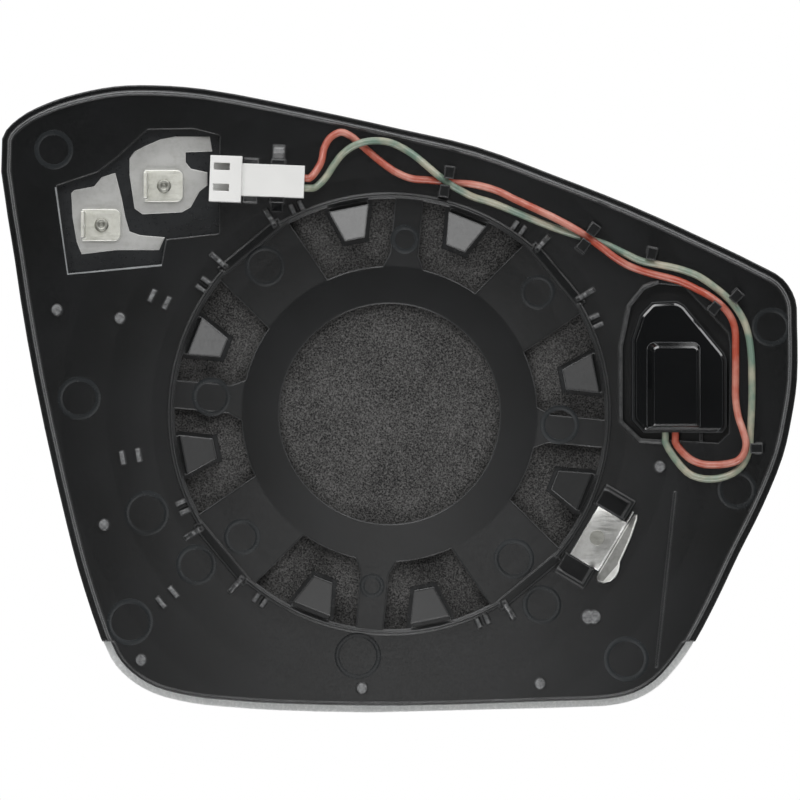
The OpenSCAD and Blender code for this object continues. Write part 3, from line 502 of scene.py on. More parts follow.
class Finish(Enum):
    """The finishes of the part, each with the real material and process that it stands for."""

    # Black satin ABS from an eroded mould: dark, with painted grey highlights on its rims and raised tops
    CARRIER = HighlitPlate("abs_satin_moulded", "#0b0c0c", "#131415", "#a6a7a8", 0.21, ior=1.54,
                          grain_depth=0.008, edge_mm=0.65, rim_highlight_share=0.2)
    # The same ABS, painted pale as a highlight along the edge of the heater's window
    FLASH = MouldedPlastic("abs_window_highlight_painted", "#8d9091", "#6f7273", "#c8cacb", 0.35, cloud_mm=5.0,
                           grain_mm=0.8, edge_mm=0.12, rim_highlight_share=0.7)
    # The same ABS where an ejector pin left a soft raised ring
    MARK = MouldedPlastic("abs_ejector_marked", "#191b1c", "#242729", "#3a3d3f", 0.24, ior=1.54,
                          grain_depth=0.006, edge_mm=0.05, rim_highlight_share=0.1)
    # Glossy black ABS of the lid: near black, with painted bright edge lines
    LID = MouldedPlastic("abs_gloss_moulded", "#060708", "#0b0c0d", "#b4b8bc", 0.13, grain_depth=0.002,
                         edge_mm=0.12, rim_highlight_share=0.4, coat=0.8)
    # Unpolished black ABS of the case under the lid
    CASE = MouldedPlastic("abs_plain_moulded", "#0d0e0f", "#131415", "#606366", 0.35)
    # Natural white nylon 6: slightly warm, soft shine
    NYLON = MouldedPlastic("nylon_white_moulded", "#e4e4e2", "#dadad8", "#f6f6f5", 0.42, ior=1.53,
                           grain_depth=0.006, edge_mm=0.25, rim_highlight_share=0.7)
    RUBBER = MouldedPlastic("epdm_moulded", "#121212", "#191919", "#2e2e2e", 0.65, ior=1.52)
    # Polyester film with black print over the heater tracks
    FILM = MouldedPlastic("polyester_film_printed", "#131517", "#1c1e20", "#3a3c3e", 0.3,
                          grain_mm=1.2, grain_depth=0.01, cloud_mm=9.0, edge_mm=0.15, ior=1.6)
    ACRYLIC = MouldedPlastic("acrylic_frosted", "#e8eaea", "#dfe2e2", "#ffffff", 0.55, ior=1.49)
    BOARD = MouldedPlastic("solder_mask_coated", "#0f4a26", "#145a2f", "#9a8f55", 0.35, cloud_mm=4.0)
    # Silicone domes of the light sources
    LENS = MouldedPlastic("silicone_dispensed", "#e6cf62", "#efdc80", "#fff2b0", 0.3, cloud_mm=2.0)
    FOAM = OpenFoam("polyethylene_foam_cut", "#0f0f0f", "#686766")
    # Silver ink under clear lacquer: flat grey with a painted pale highlight along its raised rim
    LAND = SheetMetal("silver_ink_printed", "#b0b0ae", "#9d9d99", "#eeeeec", 0.5, metallic=0.25,
                      edge_mm=0.4, edge_shine=0.75, streak_mm=0.8)
    # Tin-plated brass sheet: whitish, matt, with a painted highlight along its cut edges
    TIN = SheetMetal("brass_tin_plated", "#e4e4dc", "#c6c6ba", "#ffffff", 0.52, edge_mm=0.35,
                     edge_shine=0.95)
    # Clinched rivets: duller than the sheet round them
    RIVET = SheetMetal("steel_rivet_clinched", "#a5a59f", "#85857d", "#c6c6c0", 0.55, edge_mm=0.2)
    SPRING = SheetMetal("spring_steel_rolled", "#e2e2df", "#c2c2bc", "#ffffff", 0.36, streak_turn=1.03,
                        edge_mm=0.3, edge_shine=0.9)
    # The same sheet on the leaning leaf, painted darker as shade
    LEAF = SheetMetal("spring_steel_leaf_shade_painted", "#8e8e8b", "#6c6c69", "#f0f0ee", 0.45, streak_turn=1.03,
                      edge_mm=0.28, edge_shine=0.9)
    # The same sheet in the bend, painted black as shade in the narrow channel
    BEND_SHADE = SheetMetal("spring_steel_bend_shade_painted", "#161616", "#0e0e0e", "#3c3c3a", 0.5, streak_turn=1.03,
                       edge_mm=0.1, edge_shine=0.3)
    BRASS = SheetMetal("brass_stamped", "#c9a24c", "#a8823a", "#ecd08a", 0.35)
    # Soft vinyl insulation, brick red with a salmon bloom that is partly painted highlight
    RED_VINYL = Insulation("vinyl_red_extruded", "#a64a38", "#cd9b8c", 0.2)
    # Soft vinyl insulation, grey green with a tan bloom that is partly painted highlight
    GREEN_VINYL = Insulation("vinyl_green_extruded", "#6a8072", "#c4b49e", 0.2)
    MIRROR = SilveredGlass()
    EDGE = GroundGlass("float_glass_edge_ground", "#dcdedd", "#fbfcfb")
    # Black paint behind the silver
    BACKING = GroundGlass("mirror_backing_painted", "#101112", "#1c1d1e", 0.35)
    PAPER = StudioPaper()


@cache
def material(finish: Finish) -> bpy.types.Material:
    """Gives a finish's material, built at the first call."""
    return finish.value.build()


def dress(**finishes: Finish) -> None:
    """Gives CAD nodes their finishes.

    Args:
        finishes: the finish of each node, by the node's name.
    """
    for node, finish in finishes.items():
        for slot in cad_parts[node].material_slots:
            slot.material = material(finish)
        log.info("%s: %s", node, material(finish).name)


@dataclass(frozen=True)
class Form:
    """Depths under the convex form and the outline of the rim, in millimetres, as the CAD source has them."""

    film_d: float = 3.1
    glass_d: float = 5.3
    foam_d: float = 2.8
    steps: int = 3
    knots: tuple = (
        (-92.9, 66), (-88.9, 70.9), (-82.4, 74.4), (-75.1, 76.8), (-65.9, 78.6), (-56.8, 78.9),
        (-44.5, 78), (-20, 73.4), (2.5, 68.5), (20.9, 64.2), (39.2, 57.5), (57.7, 50.2),
        (76, 41.9), (88.2, 36), (94.4, 32.4), (97.4, 27.4), (97.8, 21.4), (97.8, 8.2),
        (96.5, -1), (94.4, -10.2), (89.4, -22.5), (83.9, -33.5), (78.4, -45.1), (73.6, -54.2),
        (69.9, -59.8), (64.9, -65.3), (59.4, -68.6), (52.7, -70.2), (39.2, -70.8), (2.5, -71.9),
        (-26.1, -71.4), (-38.4, -70.6), (-47.6, -69.6), (-56.8, -67.2), (-62.9, -63.5), (-67.1, -58.6),
        (-73.3, -42), (-77.6, -26.2), (-85.2, 8.2), (-89.9, 36.7))

    def bow(self, x: float, y: float) -> float:
        """Gives the height of the convex form over the edge of the hub, negative inside it."""
        return math.sqrt(BOW_R ** 2 - HUB_R ** 2) - math.sqrt(BOW_R ** 2 - x * x - y * y)

    def back(self, x: float, y: float) -> float:
        """Gives the height of the carrier's back, whose hub is flat, at a place."""
        return max(0.0, self.bow(x, y))

    def outline(self, inset: float) -> list[Vector]:
        """Gives the rim, moved inwards, as the points of a closed clockwise loop."""
        return inset_loop(curve_through([Vector(k) for k in self.knots], self.steps, closed=True), inset)


def closed_pairs(loop: list) -> list[tuple]:
    """Gives each point of a closed loop with the one that follows it."""
    return list(zip(loop, loop[1:] + loop[:1]))


def inset_loop(loop: list[Vector], depth: float) -> list[Vector]:
    """Moves a closed clockwise loop inwards, with mitred corners.

    Args:
        loop: its points.
        depth: how far inwards.

    Returns:
        The moved points.
    """
    out = []
    for i, p in enumerate(loop):
        before, after = (p - loop[i - 1]).normalized(), (loop[(i + 1) % len(loop)] - p).normalized()
        n, m = Vector((before.y, -before.x)), Vector((after.y, -after.x))
        out.append(p + depth * (n + m) / (1 + n.dot(m)))
    return out


def curve_through(knots: list[Vector], steps: int, closed: bool) -> list[Vector]:
    """Draws a smooth curve through knots, with the pace of each span set by its length.

    Args:
        knots: the points that it passes through.
        steps: points drawn for each span.
        closed: whether the last knot leads back to the first.

    Returns:
        The points of the curve.
    """
    count = len(knots)
    if closed:
        spans = [[knots[(i + j) % count] for j in (-1, 0, 1, 2)] for i in range(count)]
    else:
        line = [2 * knots[0] - knots[1], *knots, 2 * knots[-1] - knots[-2]]
        spans = [line[i:i + 4] for i in range(count - 1)]
    out = []
    for p in spans:
        t = [0.0]
        for a, b in zip(p, p[1:]):
            t.append(t[-1] + math.sqrt((b - a).length))
        for k in range(steps):
            at = t[1] + k / steps * (t[2] - t[1])
            row = list(p)
            for level in (1, 2, 3):
                row = [((t[i + level] - at) * row[i] + (at - t[i]) * row[i + 1]) / (t[i + level] - t[i])
                       if level < 3 else ((t[2] - at) * row[0] + (at - t[1]) * row[1]) / (t[2] - t[1])
                       for i in range(len(row) - 1)]
            out.append(row[0])
    return out if closed else [*out, knots[-1]]


def extruded(shape: BMesh, loop: list, low: float, high: float) -> list:
    """Adds an upright prism.

    Args:
        shape: the mesh that it goes into.
        loop: corners of its base, in millimetres.
        low: height of its base.
        high: height of its top.

    Returns:
        The corners of its top.
    """
    base = shape.faces.new([shape.verts.new((p[0] * MM, p[1] * MM, low * MM)) for p in loop])
    made = bmesh.ops.extrude_face_region(shape, geom=[base])
    top = [v for v in made["geom"] if isinstance(v, bmesh.types.BMVert)]
    bmesh.ops.translate(shape, verts=top, vec=(0.0, 0.0, (high - low) * MM))
    if base.is_valid and base.normal.z > 0:
        base.normal_flip()
    return top


def rounded(shape: BMesh, edges: list, radius: float, segments: int) -> None:
    """Rounds edges with a radius in millimetres."""
    bmesh.ops.bevel(shape, geom=edges, offset=radius * MM, segments=segments, profile=0.5,
                    affect="EDGES", material=-1, clamp_overlap=True)


def whole(shape: BMesh) -> list:
    """Gives all that a mesh is made of."""
    return [*shape.verts, *shape.edges, *shape.faces]


def top_face(shape: BMesh) -> bmesh.types.BMFace:
    """Turns a mesh's faces outwards and gives the highest one."""
    bmesh.ops.recalc_face_normals(shape, faces=shape.faces)
    return max(shape.faces, key=lambda f: (round(f.calc_center_median().z, 6), f.calc_area()))


def box(left: float, right: float, low: float, high: float) -> list:
    """Gives the corners of an upright rectangle's base, clockwise."""
    return [(left, low), (left, high), (right, high), (right, low)]


def absorb(shape: BMesh, part: BMesh) -> None:
    """Adds a mesh to another and uses it up.

    Args:
        shape: the mesh that grows.
        part: the mesh that it takes in.
    """
    mesh = bpy.data.meshes.new("part")
    part.to_mesh(mesh)
    part.free()
    shape.from_mesh(mesh)
    bpy.data.meshes.remove(mesh)


def turned(shape: BMesh, profile: list, centre: tuple, steps: int = 32) -> list:
    """Adds a closed turned solid.

    Args:
        shape: the mesh that it goes into.
        profile: radius and height of each point of the profile.
        centre: its axis and foot, in millimetres.
        steps: facets round it.

    Returns:
        The points of the solid.
    """
    x, y, z = centre
    before = set(shape.verts)
    line = [shape.verts.new(((x + r) * MM, y * MM, (z + h) * MM)) for r, h in profile]
    closed = profile[0][0] > 0
    pairs = list(zip(line, line[1:])) + ([(line[-1], line[0])] if closed else [])
    edges = [shape.edges.new(pair) for pair in pairs]
    bmesh.ops.spin(shape, geom=line + edges, cent=(x * MM, y * MM, 0.0), axis=(0.0, 0.0, 1.0),
                   angle=2 * math.pi, steps=steps, use_merge=True, use_duplicate=False)
    made = [v for v in shape.verts if v not in before]
    bmesh.ops.remove_doubles(shape, verts=made, dist=1e-7)
    return [v for v in shape.verts if v not in before]


def placed(name: str, data: bpy.types.ID) -> bpy.types.Object:
    """Makes an object and puts it in the scene.

    Args:
        name: its name.
        data: its mesh, curve, lamp or camera.

    Returns:
        The object.
    """
    thing = bpy.data.objects.new(name, data)
    bpy.context.scene.collection.objects.link(thing)
    return thing


def hand_over(shape: BMesh, name: str, looks: tuple, stands_for: tuple = (),
              sharp: float = 35.0) -> None:
    """Makes a finished piece of a mesh and lets it ride on the part.

    Args:
        shape: the mesh, in metres, used up here.
        name: the piece's name.
        looks: its finishes, in the order of its faces' material numbers.
        stands_for: the CAD nodes that it replaces.
        sharp: angle in degrees past which an edge is shaded sharp.
    """
    bmesh.ops.remove_doubles(shape, verts=shape.verts, dist=1e-6)
    bmesh.ops.recalc_face_normals(shape, faces=shape.faces)
    mesh = bpy.data.meshes.new(name)
    shape.to_mesh(mesh)
    shape.free()
    for look in looks:
        mesh.materials.append(material(look))
    mesh.shade_smooth()
    mesh.set_sharp_from_angle(angle=math.radians(sharp))
    piece = placed(name, mesh)
    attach(piece, BODY)
    if stands_for:
        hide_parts(*stands_for)
    log.info("%s: %d faces", name, len(mesh.polygons))


@dataclass
class Assembly:
    """A sub-assembly of the part, whose sizes are in millimetres."""

    form: Form

    def build(self) -> None:
        """Builds its pieces and dresses its CAD nodes."""
        raise NotImplementedError


@dataclass
class MirrorPane(Assembly):
    """The convex glass pane with its silvered face, ground edge and painted back."""

    skirt_inset: float = 1.1
    bare_inset: float = 0.1
    bare_edge: float = 1.9
    cell: float = 2.6
    half: float = 100.0

    def build(self) -> None:
        """Builds the pane in the place of its CAD node."""
        upper = self.form.outline(self.skirt_inset)
        lower = self.form.outline(self.bare_inset)
        shape = bmesh.new()
        for loop, sign in ((upper, 1), (lower, -1)):
            self._sheet(shape, loop, sign, upper)
        bmesh.ops.remove_doubles(shape, verts=shape.verts, dist=2e-5)
        self._sink(shape.verts, self.form.film_d)
        made = bmesh.ops.extrude_face_region(shape, geom=list(shape.faces))
        self._sink([v for v in made["geom"] if isinstance(v, bmesh.types.BMVert)], self.form.glass_d)
        bmesh.ops.recalc_face_normals(shape, faces=shape.faces)
        silver, ground, paint = range(3)
        for f in shape.faces:
            rim = self._depth(f.calc_center_median() / MM, lower) < self.bare_edge
            side = silver if f.normal.z < 0 else paint
            f.material_index = ground if abs(f.normal.z) < 0.5 or rim else side
        hand_over(shape, "mirror_pane", (Finish.MIRROR, Finish.EDGE, Finish.BACKING),
                  ("mirror_glass",))

    def _sink(self, points: list, depth: float) -> None:
        """Lays points on the convex form at a depth in millimetres."""
        for v in points:
            v.co.z = (self.form.bow(v.co.x / MM, v.co.y / MM) - depth) * MM

    def _depth(self, place: Vector, loop: list) -> float:
        """Gives how far a place lies inside the bare lower rim, and no end above it."""
        ways = ((place.xy - a).dot(Vector((b.y - a.y, a.x - b.x)).normalized())
                for a, b in closed_pairs(loop))
        return math.inf if place.y > BARE_BELOW else min(ways)

    def _sheet(self, shape: BMesh, loop: list, sign: int, upper: list) -> None:
        """Adds the flat sheet on one side of the line where the edge becomes bare.

        Args:
            shape: the mesh that it goes into.
            loop: the clockwise rim of the sheet.
            sign: 1 above the line and -1 below it.
            upper: the rim of the sheet above, whose ends the sheet below shares.
        """
        sheet = bmesh.new()
        count = int(2 * self.half / self.cell)
        bmesh.ops.create_grid(sheet, x_segments=count, y_segments=count, size=self.half * MM)

        def cut(point: Vector, normal: Vector, clear: bool = True) -> None:
            """Cuts the sheet along a line, and clears what lies on the side of the normal."""
            bmesh.ops.bisect_plane(sheet, geom=whole(sheet), dist=1e-7, clear_outer=clear,
                                   plane_co=(point.x * MM, point.y * MM, 0.0),
                                   plane_no=(normal.x, normal.y, 0.0))

        cut(Vector((0, BARE_BELOW)), Vector((0, -sign)))
        for a, b in closed_pairs(loop):
            if max(sign * (a.y - BARE_BELOW), sign * (b.y - BARE_BELOW)) > 0:
                cut(a, Vector((a.y - b.y, b.x - a.x)))
        seam = self.form.outline(self.bare_inset + self.bare_edge)
        for a, b in closed_pairs(seam):
            if min(a.y, b.y) < BARE_BELOW:
                cut(a, Vector((a.y - b.y, b.x - a.x)), clear=False)
        if sign < 0:
            for a, b in closed_pairs(upper):
                if (a.y - BARE_BELOW) * (b.y - BARE_BELOW) < 0:
                    cross = a + (b - a) * (BARE_BELOW - a.y) / (b.y - a.y)
                    cut(cross, Vector((1, 0)), clear=False)
        absorb(shape, sheet)


@dataclass
class Carrier(Assembly):
    """The moulded carrier with its ejector rings, and a pale line at the heater's window that is a painted
    highlight.
    """

    ridge: float = 0.6
    ridge_h: float = 0.05
    bead_line: tuple = ((-79.9, 54.4), (-77.1, 33.7), (-54.7, 35.9))
    bead_w: float = 0.42
    bead_h: float = 0.14
    bead_steps: int = 12
    # Section of the painted highlight line: share of its width, and of its height
    bead_section: tuple = ((0.0, -2.0), (0.0, 0.4), (0.3, 1.0), (0.7, 1.0), (1.0, 0.3), (1.0, -2.0))
    # Place and radius of each ejector pin's ring
    marks: tuple = (
        (-80.5, 63.4, 4.1), (-74.5, 3.8, 4.6), (-58.3, -23.8, 4.8), (-46.4, -36.2, 4.3),
        (-62.3, -49.9, 5), (-35.4, -29.5, 3.8), (-7.6, -58.1, 5), (56.8, -58.8, 4.8),
        (36.6, -45.8, 4.1), (29.9, -34.8, 4.3), (83.4, -18.2, 4.1), (40.9, -2.6, 4.1),
        (91.6, 20.9, 4.1), (35.6, 29.3, 3.6), (-42.8, 4.1, 4.1), (-29.9, 35.5, 4.3),
        (3.7, 42, 2.9), (-4.2, -41.3, 2.4))

    def build(self) -> None:
        """Dresses the carrier and adds the ejector marks and the pale line of painted highlight at the
        window.
        """
        dress(carrier_plate=Finish.CARRIER)
        shape = bmesh.new()
        foot, low, crown = self.ridge, 0.01, self.ridge / 3
        for x, y, r in self.marks:
            ring = [(r - foot, -2 * self.ridge_h), (r - foot, low), (r - crown, self.ridge_h),
                    (r + crown, self.ridge_h), (r + foot, low), (r + foot, -2 * self.ridge_h)]
            for v in turned(shape, ring, (x, y, 0.0), steps=48):
                v.co.z += self.form.back(v.co.x / MM, v.co.y / MM) * MM
        hand_over(shape, "ejector_marks", (Finish.MARK,))
        self._highlight_bead()

    def _highlight_bead(self) -> None:
        """Builds the low rounded pale line along two sides of the window, a painted highlight."""
        shape = bmesh.new()
        line = [Vector(p) for p in self.bead_line]
        side = [(b - a).normalized().orthogonal() * -self.bead_w for a, b in zip(line, line[1:])]
        turn = (side[0] + side[1]).normalized() * self.bead_w
        outer = [line[0] + side[0], line[1] + turn, line[2] + side[1]]
        steps = [(k, i / self.bead_steps) for k in (0, 1) for i in range(self.bead_steps)]
        rail = [(line[k].lerp(line[k + 1], w), outer[k].lerp(outer[k + 1], w)) for k, w in steps]
        rail.append((line[2], outer[2]))
        rings = []
        for inner, edge in rail:
            foot = self.form.back(*inner)
            rings.append([shape.verts.new((*(inner.lerp(edge, w) * MM), (foot + h * self.bead_h) * MM))
                          for w, h in self.bead_section])
        count = len(self.bead_section)
        for low, high in zip(rings, rings[1:]):
            for i in range(count):
                shape.faces.new((low[i], low[(i + 1) % count], high[(i + 1) % count], high[i]))
        shape.faces.new(rings[0])
        shape.faces.new(rings[-1])
        hand_over(shape, "window_highlight_bead", (Finish.FLASH,))


@dataclass
class Heater(Assembly):
    """Film, foam, silver lands and riveted terminals of the heater."""

    land_t: float = 0.15
    tab_t: float = 0.8
    rivets: tuple = ((-54.2, 54.8), (-69.2, 45.4))

    def build(self) -> None:
        """Dresses the heater's nodes and turns its rivets."""
        dress(
            heater_film=Finish.FILM, foam_pad=Finish.FOAM, heater_land_upper=Finish.LAND,
            heater_land_lower=Finish.LAND, terminal_upper=Finish.TIN, terminal_lower=Finish.TIN)
        shape = bmesh.new()
        # Half section of a clinched tubular rivet, from its hollow middle out and down to its shank
        section = [(0.0, 0.1), (0.42, 0.08), (0.62, 0.3), (0.9, 0.58), (1.25, 0.64), (1.55, 0.42),
                   (1.68, 0.14), (1.68, 0.0), (0.88, 0.0), (0.88, -self.tab_t), (0.0, -self.tab_t)]
        for x, y in self.rivets:
            foot = self.form.bow(x, y) - self.form.foam_d + self.land_t + self.tab_t
            turned(shape, section, (x, y, foot), steps=40)
        hand_over(shape, "rivet_heads", (Finish.RIVET,), ("terminal_rivets",), sharp=50.0)


@dataclass
class Connector(Assembly):
    """The white plug housing with its contacts."""

    place: tuple = (-31.7, 56.0)
    turn: float = -2.2
    lift: float = 0.6
    length: float = 22.6
    wire_lift: float = 2.7
    wire_hole: float = 4.0
    wire_side: float = -0.2
    pitch: float = 2.4

    def build(self) -> None:
        """Dresses the housing and its contacts."""
        dress(connector_housing=Finish.NYLON, connector_contacts=Finish.BRASS)

    def wire_point(self, along: float, side: int) -> Vector:
        """Gives a point on the axis of a wire's passage.

        Args:
            along: distance from the housing's middle.
            side: 1 for the upper passage and -1 for the lower.

        Returns:
            The point, in millimetres.
        """
        a = math.radians(self.turn)
        y = self.wire_side + side * self.pitch / 2
        return Vector((
            self.place[0] + along * math.cos(a) - y * math.sin(a),
            self.place[1] + along * math.sin(a) + y * math.cos(a),
            self.form.back(*self.place) + self.lift + self.wire_lift))


@dataclass
class Indicator(Assembly):
    """The side indicator's module: case, glossy lid with its raised box, board and seal."""

    place: tuple = (70.0, 11.0)
    rise: float = 3.1
    lid_t: float = 1.0
    box_h: float = 1.7
    wire_d: float = 1.8
    seal: tuple = (67.4, -4.4)
    pitch: float = 2.4
    lid_inset: float = 0.5
    chamfer_w: float = 0.5
    chamfer_h: float = 0.33
    outline: tuple = (
        (-11.8, 6.8), (-9.8, 12.8), (-7, 15.8), (-1.2, 16.1), (0.6, 15.2), (10.2, 3.6), (10.8, 2),
        (10.8, -14.2), (9.8, -15.4), (-9, -15.4), (-11.8, -12.4))
    box_foot: tuple = ((-8.7, 5.4), (-7.6, 6.5), (3.5, 6.5), (4.6, 5.4), (4.6, -14.4), (-8.7, -14.4))
    box_crown: tuple = ((-7.1, 4.4), (-6.2, 5.3), (3.2, 5.3), (4.1, 4.4), (4.1, -13.9), (-7.1, -13.9))

    @property
    def lid_top(self) -> float:
        """Height of the lid's flat top."""
        return self.form.back(*self.place) + self.rise

    def wire_point(self, along: float, side: int) -> Vector:
        """Gives a point on the right (1) or left (-1) wire's axis, so far into the module."""
        height = self.lid_top - self.lid_t - self.wire_d / 2 - 0.1
        return Vector((self.seal[0] + side * self.pitch / 2, self.seal[1] + along, height))

    def build(self) -> None:
        """Dresses the module's nodes and builds its lid."""
        dress(
            indicator_housing=Finish.CASE, indicator_board=Finish.BOARD, indicator_leds=Finish.LENS,
            indicator_diffuser=Finish.ACRYLIC, indicator_seal=Finish.RUBBER)
        place = Vector(self.place)
        shape = bmesh.new()
        loop = inset_loop([place + Vector(p) for p in self.outline], self.lid_inset)
        self._prism(shape, loop, loop, self.lid_top - self.lid_t, self.lid_top, 1.2)
        case = bmesh.new()
        foot, crown = ([place + Vector(p) for p in corners] for corners in (self.box_foot, self.box_crown))
        self._prism(case, foot, crown, self.lid_top - self.lid_t / 2, self.lid_top + self.box_h, 0.9)
        absorb(shape, case)
        hand_over(shape, "lid", (Finish.LID,), ("indicator_lid",), sharp=12.0)

    def _prism(self, shape: BMesh, foot: list, crown: list, low: float, high: float, radius: float) -> None:
        """Adds a block with rounded uprights and a flat chamfer round its top.

        Args:
            shape: the mesh that it goes into.
            foot: corners of its foot, in millimetres.
            crown: corners of its top, one for each corner of its foot.
            low: height of its foot.
            high: height of its top.
            radius: radius of its uprights.
        """
        for v in extruded(shape, foot, low, high - self.chamfer_h):
            i = min(range(len(foot)), key=lambda k: (foot[k] - v.co.xy / MM).length)
            v.co.x, v.co.y = crown[i].x * MM, crown[i].y * MM
        upright = [e for e in shape.edges if abs(e.verts[0].co.z - e.verts[1].co.z) > 1e-6]
        rounded(shape, upright, radius, 5)
        bmesh.ops.inset_region(shape, faces=[top_face(shape)], thickness=self.chamfer_w * MM,
                               depth=self.chamfer_h * MM, use_even_offset=True)


@dataclass
class Wires(Assembly):
    """The two insulated wires from the connector to the indicator."""

    connector: Connector
    indicator: Indicator
    diameter: float = 1.8
    stub: float = 1.2
    case_t: float = 1.2
    # Places on the plate, with the height of the wire's middle above it
    red: tuple = (
        (-17.6, 58.2, 2.8), (-16.3, 60.7, 2.2), (-15.7, 63.7, 1.4), (-14.1, 66.4, 1), (-11.6, 67.6, 1),
        (-9.2, 66.6, 1), (-7.3, 65, 1), (-4.9, 62.9, 1), (-1.9, 60.4, 1), (1.8, 57.9, 1), (5.4, 56.5, 1),
        (9.1, 56.2, 1), (12.1, 55.9, 1), (15.9, 55.4, 1), (19.3, 55.2, 1), (22.9, 54.5, 1), (26.5, 53.3, 1),
        (29.9, 51.6, 1.4), (35.4, 49, 2.4), (40.9, 46.3, 3), (46, 43.4, 3), (51, 39.8, 3), (54.2, 37.4, 2.4),
        (57.5, 35.5, 1.4), (61.7, 34, 1), (65.1, 33.1, 1), (69.5, 31.9, 1), (73.8, 29.9, 1),
        (76.7, 28.3, 1.4), (79.6, 26, 1.8), (81.6, 23.6, 1.4), (82.8, 20.6, 1), (83, 15, 1), (83, 9, 1),
        (83, 3.8, 1), (83.6, -0.5, 1.4), (84.8, -4.3, 2.4), (85.4, -7, 3), (84.9, -9.4, 3),
        (83.6, -11, 2.8), (81.6, -11.8, 2.2), (78.1, -12.2, 1.2), (74.6, -11.9, 1), (71.6, -10.4, 1))
    green: tuple = (
        (-17.9, 54.3, 2.8), (-15.4, 56.6, 2.2), (-13.3, 59.8, 2), (-11.2, 62.4, 2.4), (-8.3, 64.4, 3),
        (-4.9, 65.4, 3), (-0.6, 65.3, 2), (2.6, 64.1, 1.4), (6.1, 61.9, 1.6), (9.1, 59.4, 2.4),
        (11.9, 57, 3), (14.6, 55, 3), (17.4, 53.4, 2.2), (20.4, 52, 1.2), (24.4, 50.8, 1), (29.9, 48.6, 1),
        (35.4, 46.3, 1), (40.9, 44.2, 1), (46.2, 42.5, 1), (51.6, 40.8, 1), (56.5, 38.5, 1),
        (60.5, 36.7, 1), (64.9, 35.8, 1), (69.8, 34.7, 1), (74.2, 33, 1), (78.4, 30.1, 1), (82, 26.9, 1),
        (84.5, 23.3, 1), (85.9, 19.7, 1), (86.7, 14.6, 1), (86.9, 9, 1), (86.9, 3.4, 1), (86.6, -3.5, 1),
        (86.2, -8.6, 1), (84.7, -12.2, 1), (82.2, -14.3, 1), (79, -15.4, 1), (75.2, -15.5, 1),
        (71.4, -14, 1))

    def build(self) -> None:
        """Builds both wires in the places of their CAD nodes."""
        self._wire("red_wire_run", "wire_red", "red_wire", Finish.RED_VINYL, self.red, 1)
        self._wire("green_wire_run", "wire_green", "green_wire", Finish.GREEN_VINYL, self.green, -1)

    def _wire(self, name: str, node: str, slot: str, finish: Finish, route: tuple, side: int) -> None:
        """Builds one wire as a round tube on a smooth curve.

        Args:
            name: the piece's name.
            node: the CAD node that it replaces.
            slot: the record's material slot; not used.
            finish: its finish.
            route: its places on the plate.
            side: which passage it takes in the housings.
        """
        half = self.connector.length / 2
        points = [self.connector.wire_point(d, side)
                  for d in (half - self.connector.wire_hole, half, half + self.stub)]
        points += [Vector((x, y, self.form.back(x, y) + lift)) for x, y, lift in route]
        points += [self.indicator.wire_point(d, side) for d in (-2 * self.stub, -self.stub, self.case_t)]
        path = curve_through(points, 4, closed=False)
        curve = bpy.data.curves.new(name + "_path", "CURVE")
        curve.dimensions = "3D"
        curve.bevel_depth = self.diameter / 2 * MM
        curve.bevel_resolution = 3
        curve.use_fill_caps = True
        spline = curve.splines.new("POLY")
        spline.points.add(len(path) - 1)
        for point, p in zip(spline.points, path):
            point.co = (*(p * MM), 1.0)
        carrier = placed(curve.name, curve)
        bpy.context.view_layer.update()
        mesh = bpy.data.meshes.new_from_object(carrier.evaluated_get(bpy.context.evaluated_depsgraph_get()))
        bpy.data.objects.remove(carrier)
        bpy.data.curves.remove(curve)
        shape = bmesh.new()
        shape.from_mesh(mesh)
        bpy.data.meshes.remove(mesh)
        hand_over(shape, name, (finish,), (node,), sharp=60.0)


class Side(IntEnum):
    """The looks of the spring sheet, as material numbers."""

    BRIGHT = 0
    LEAF_SHADE = 1
    BEND_SHADE = 2


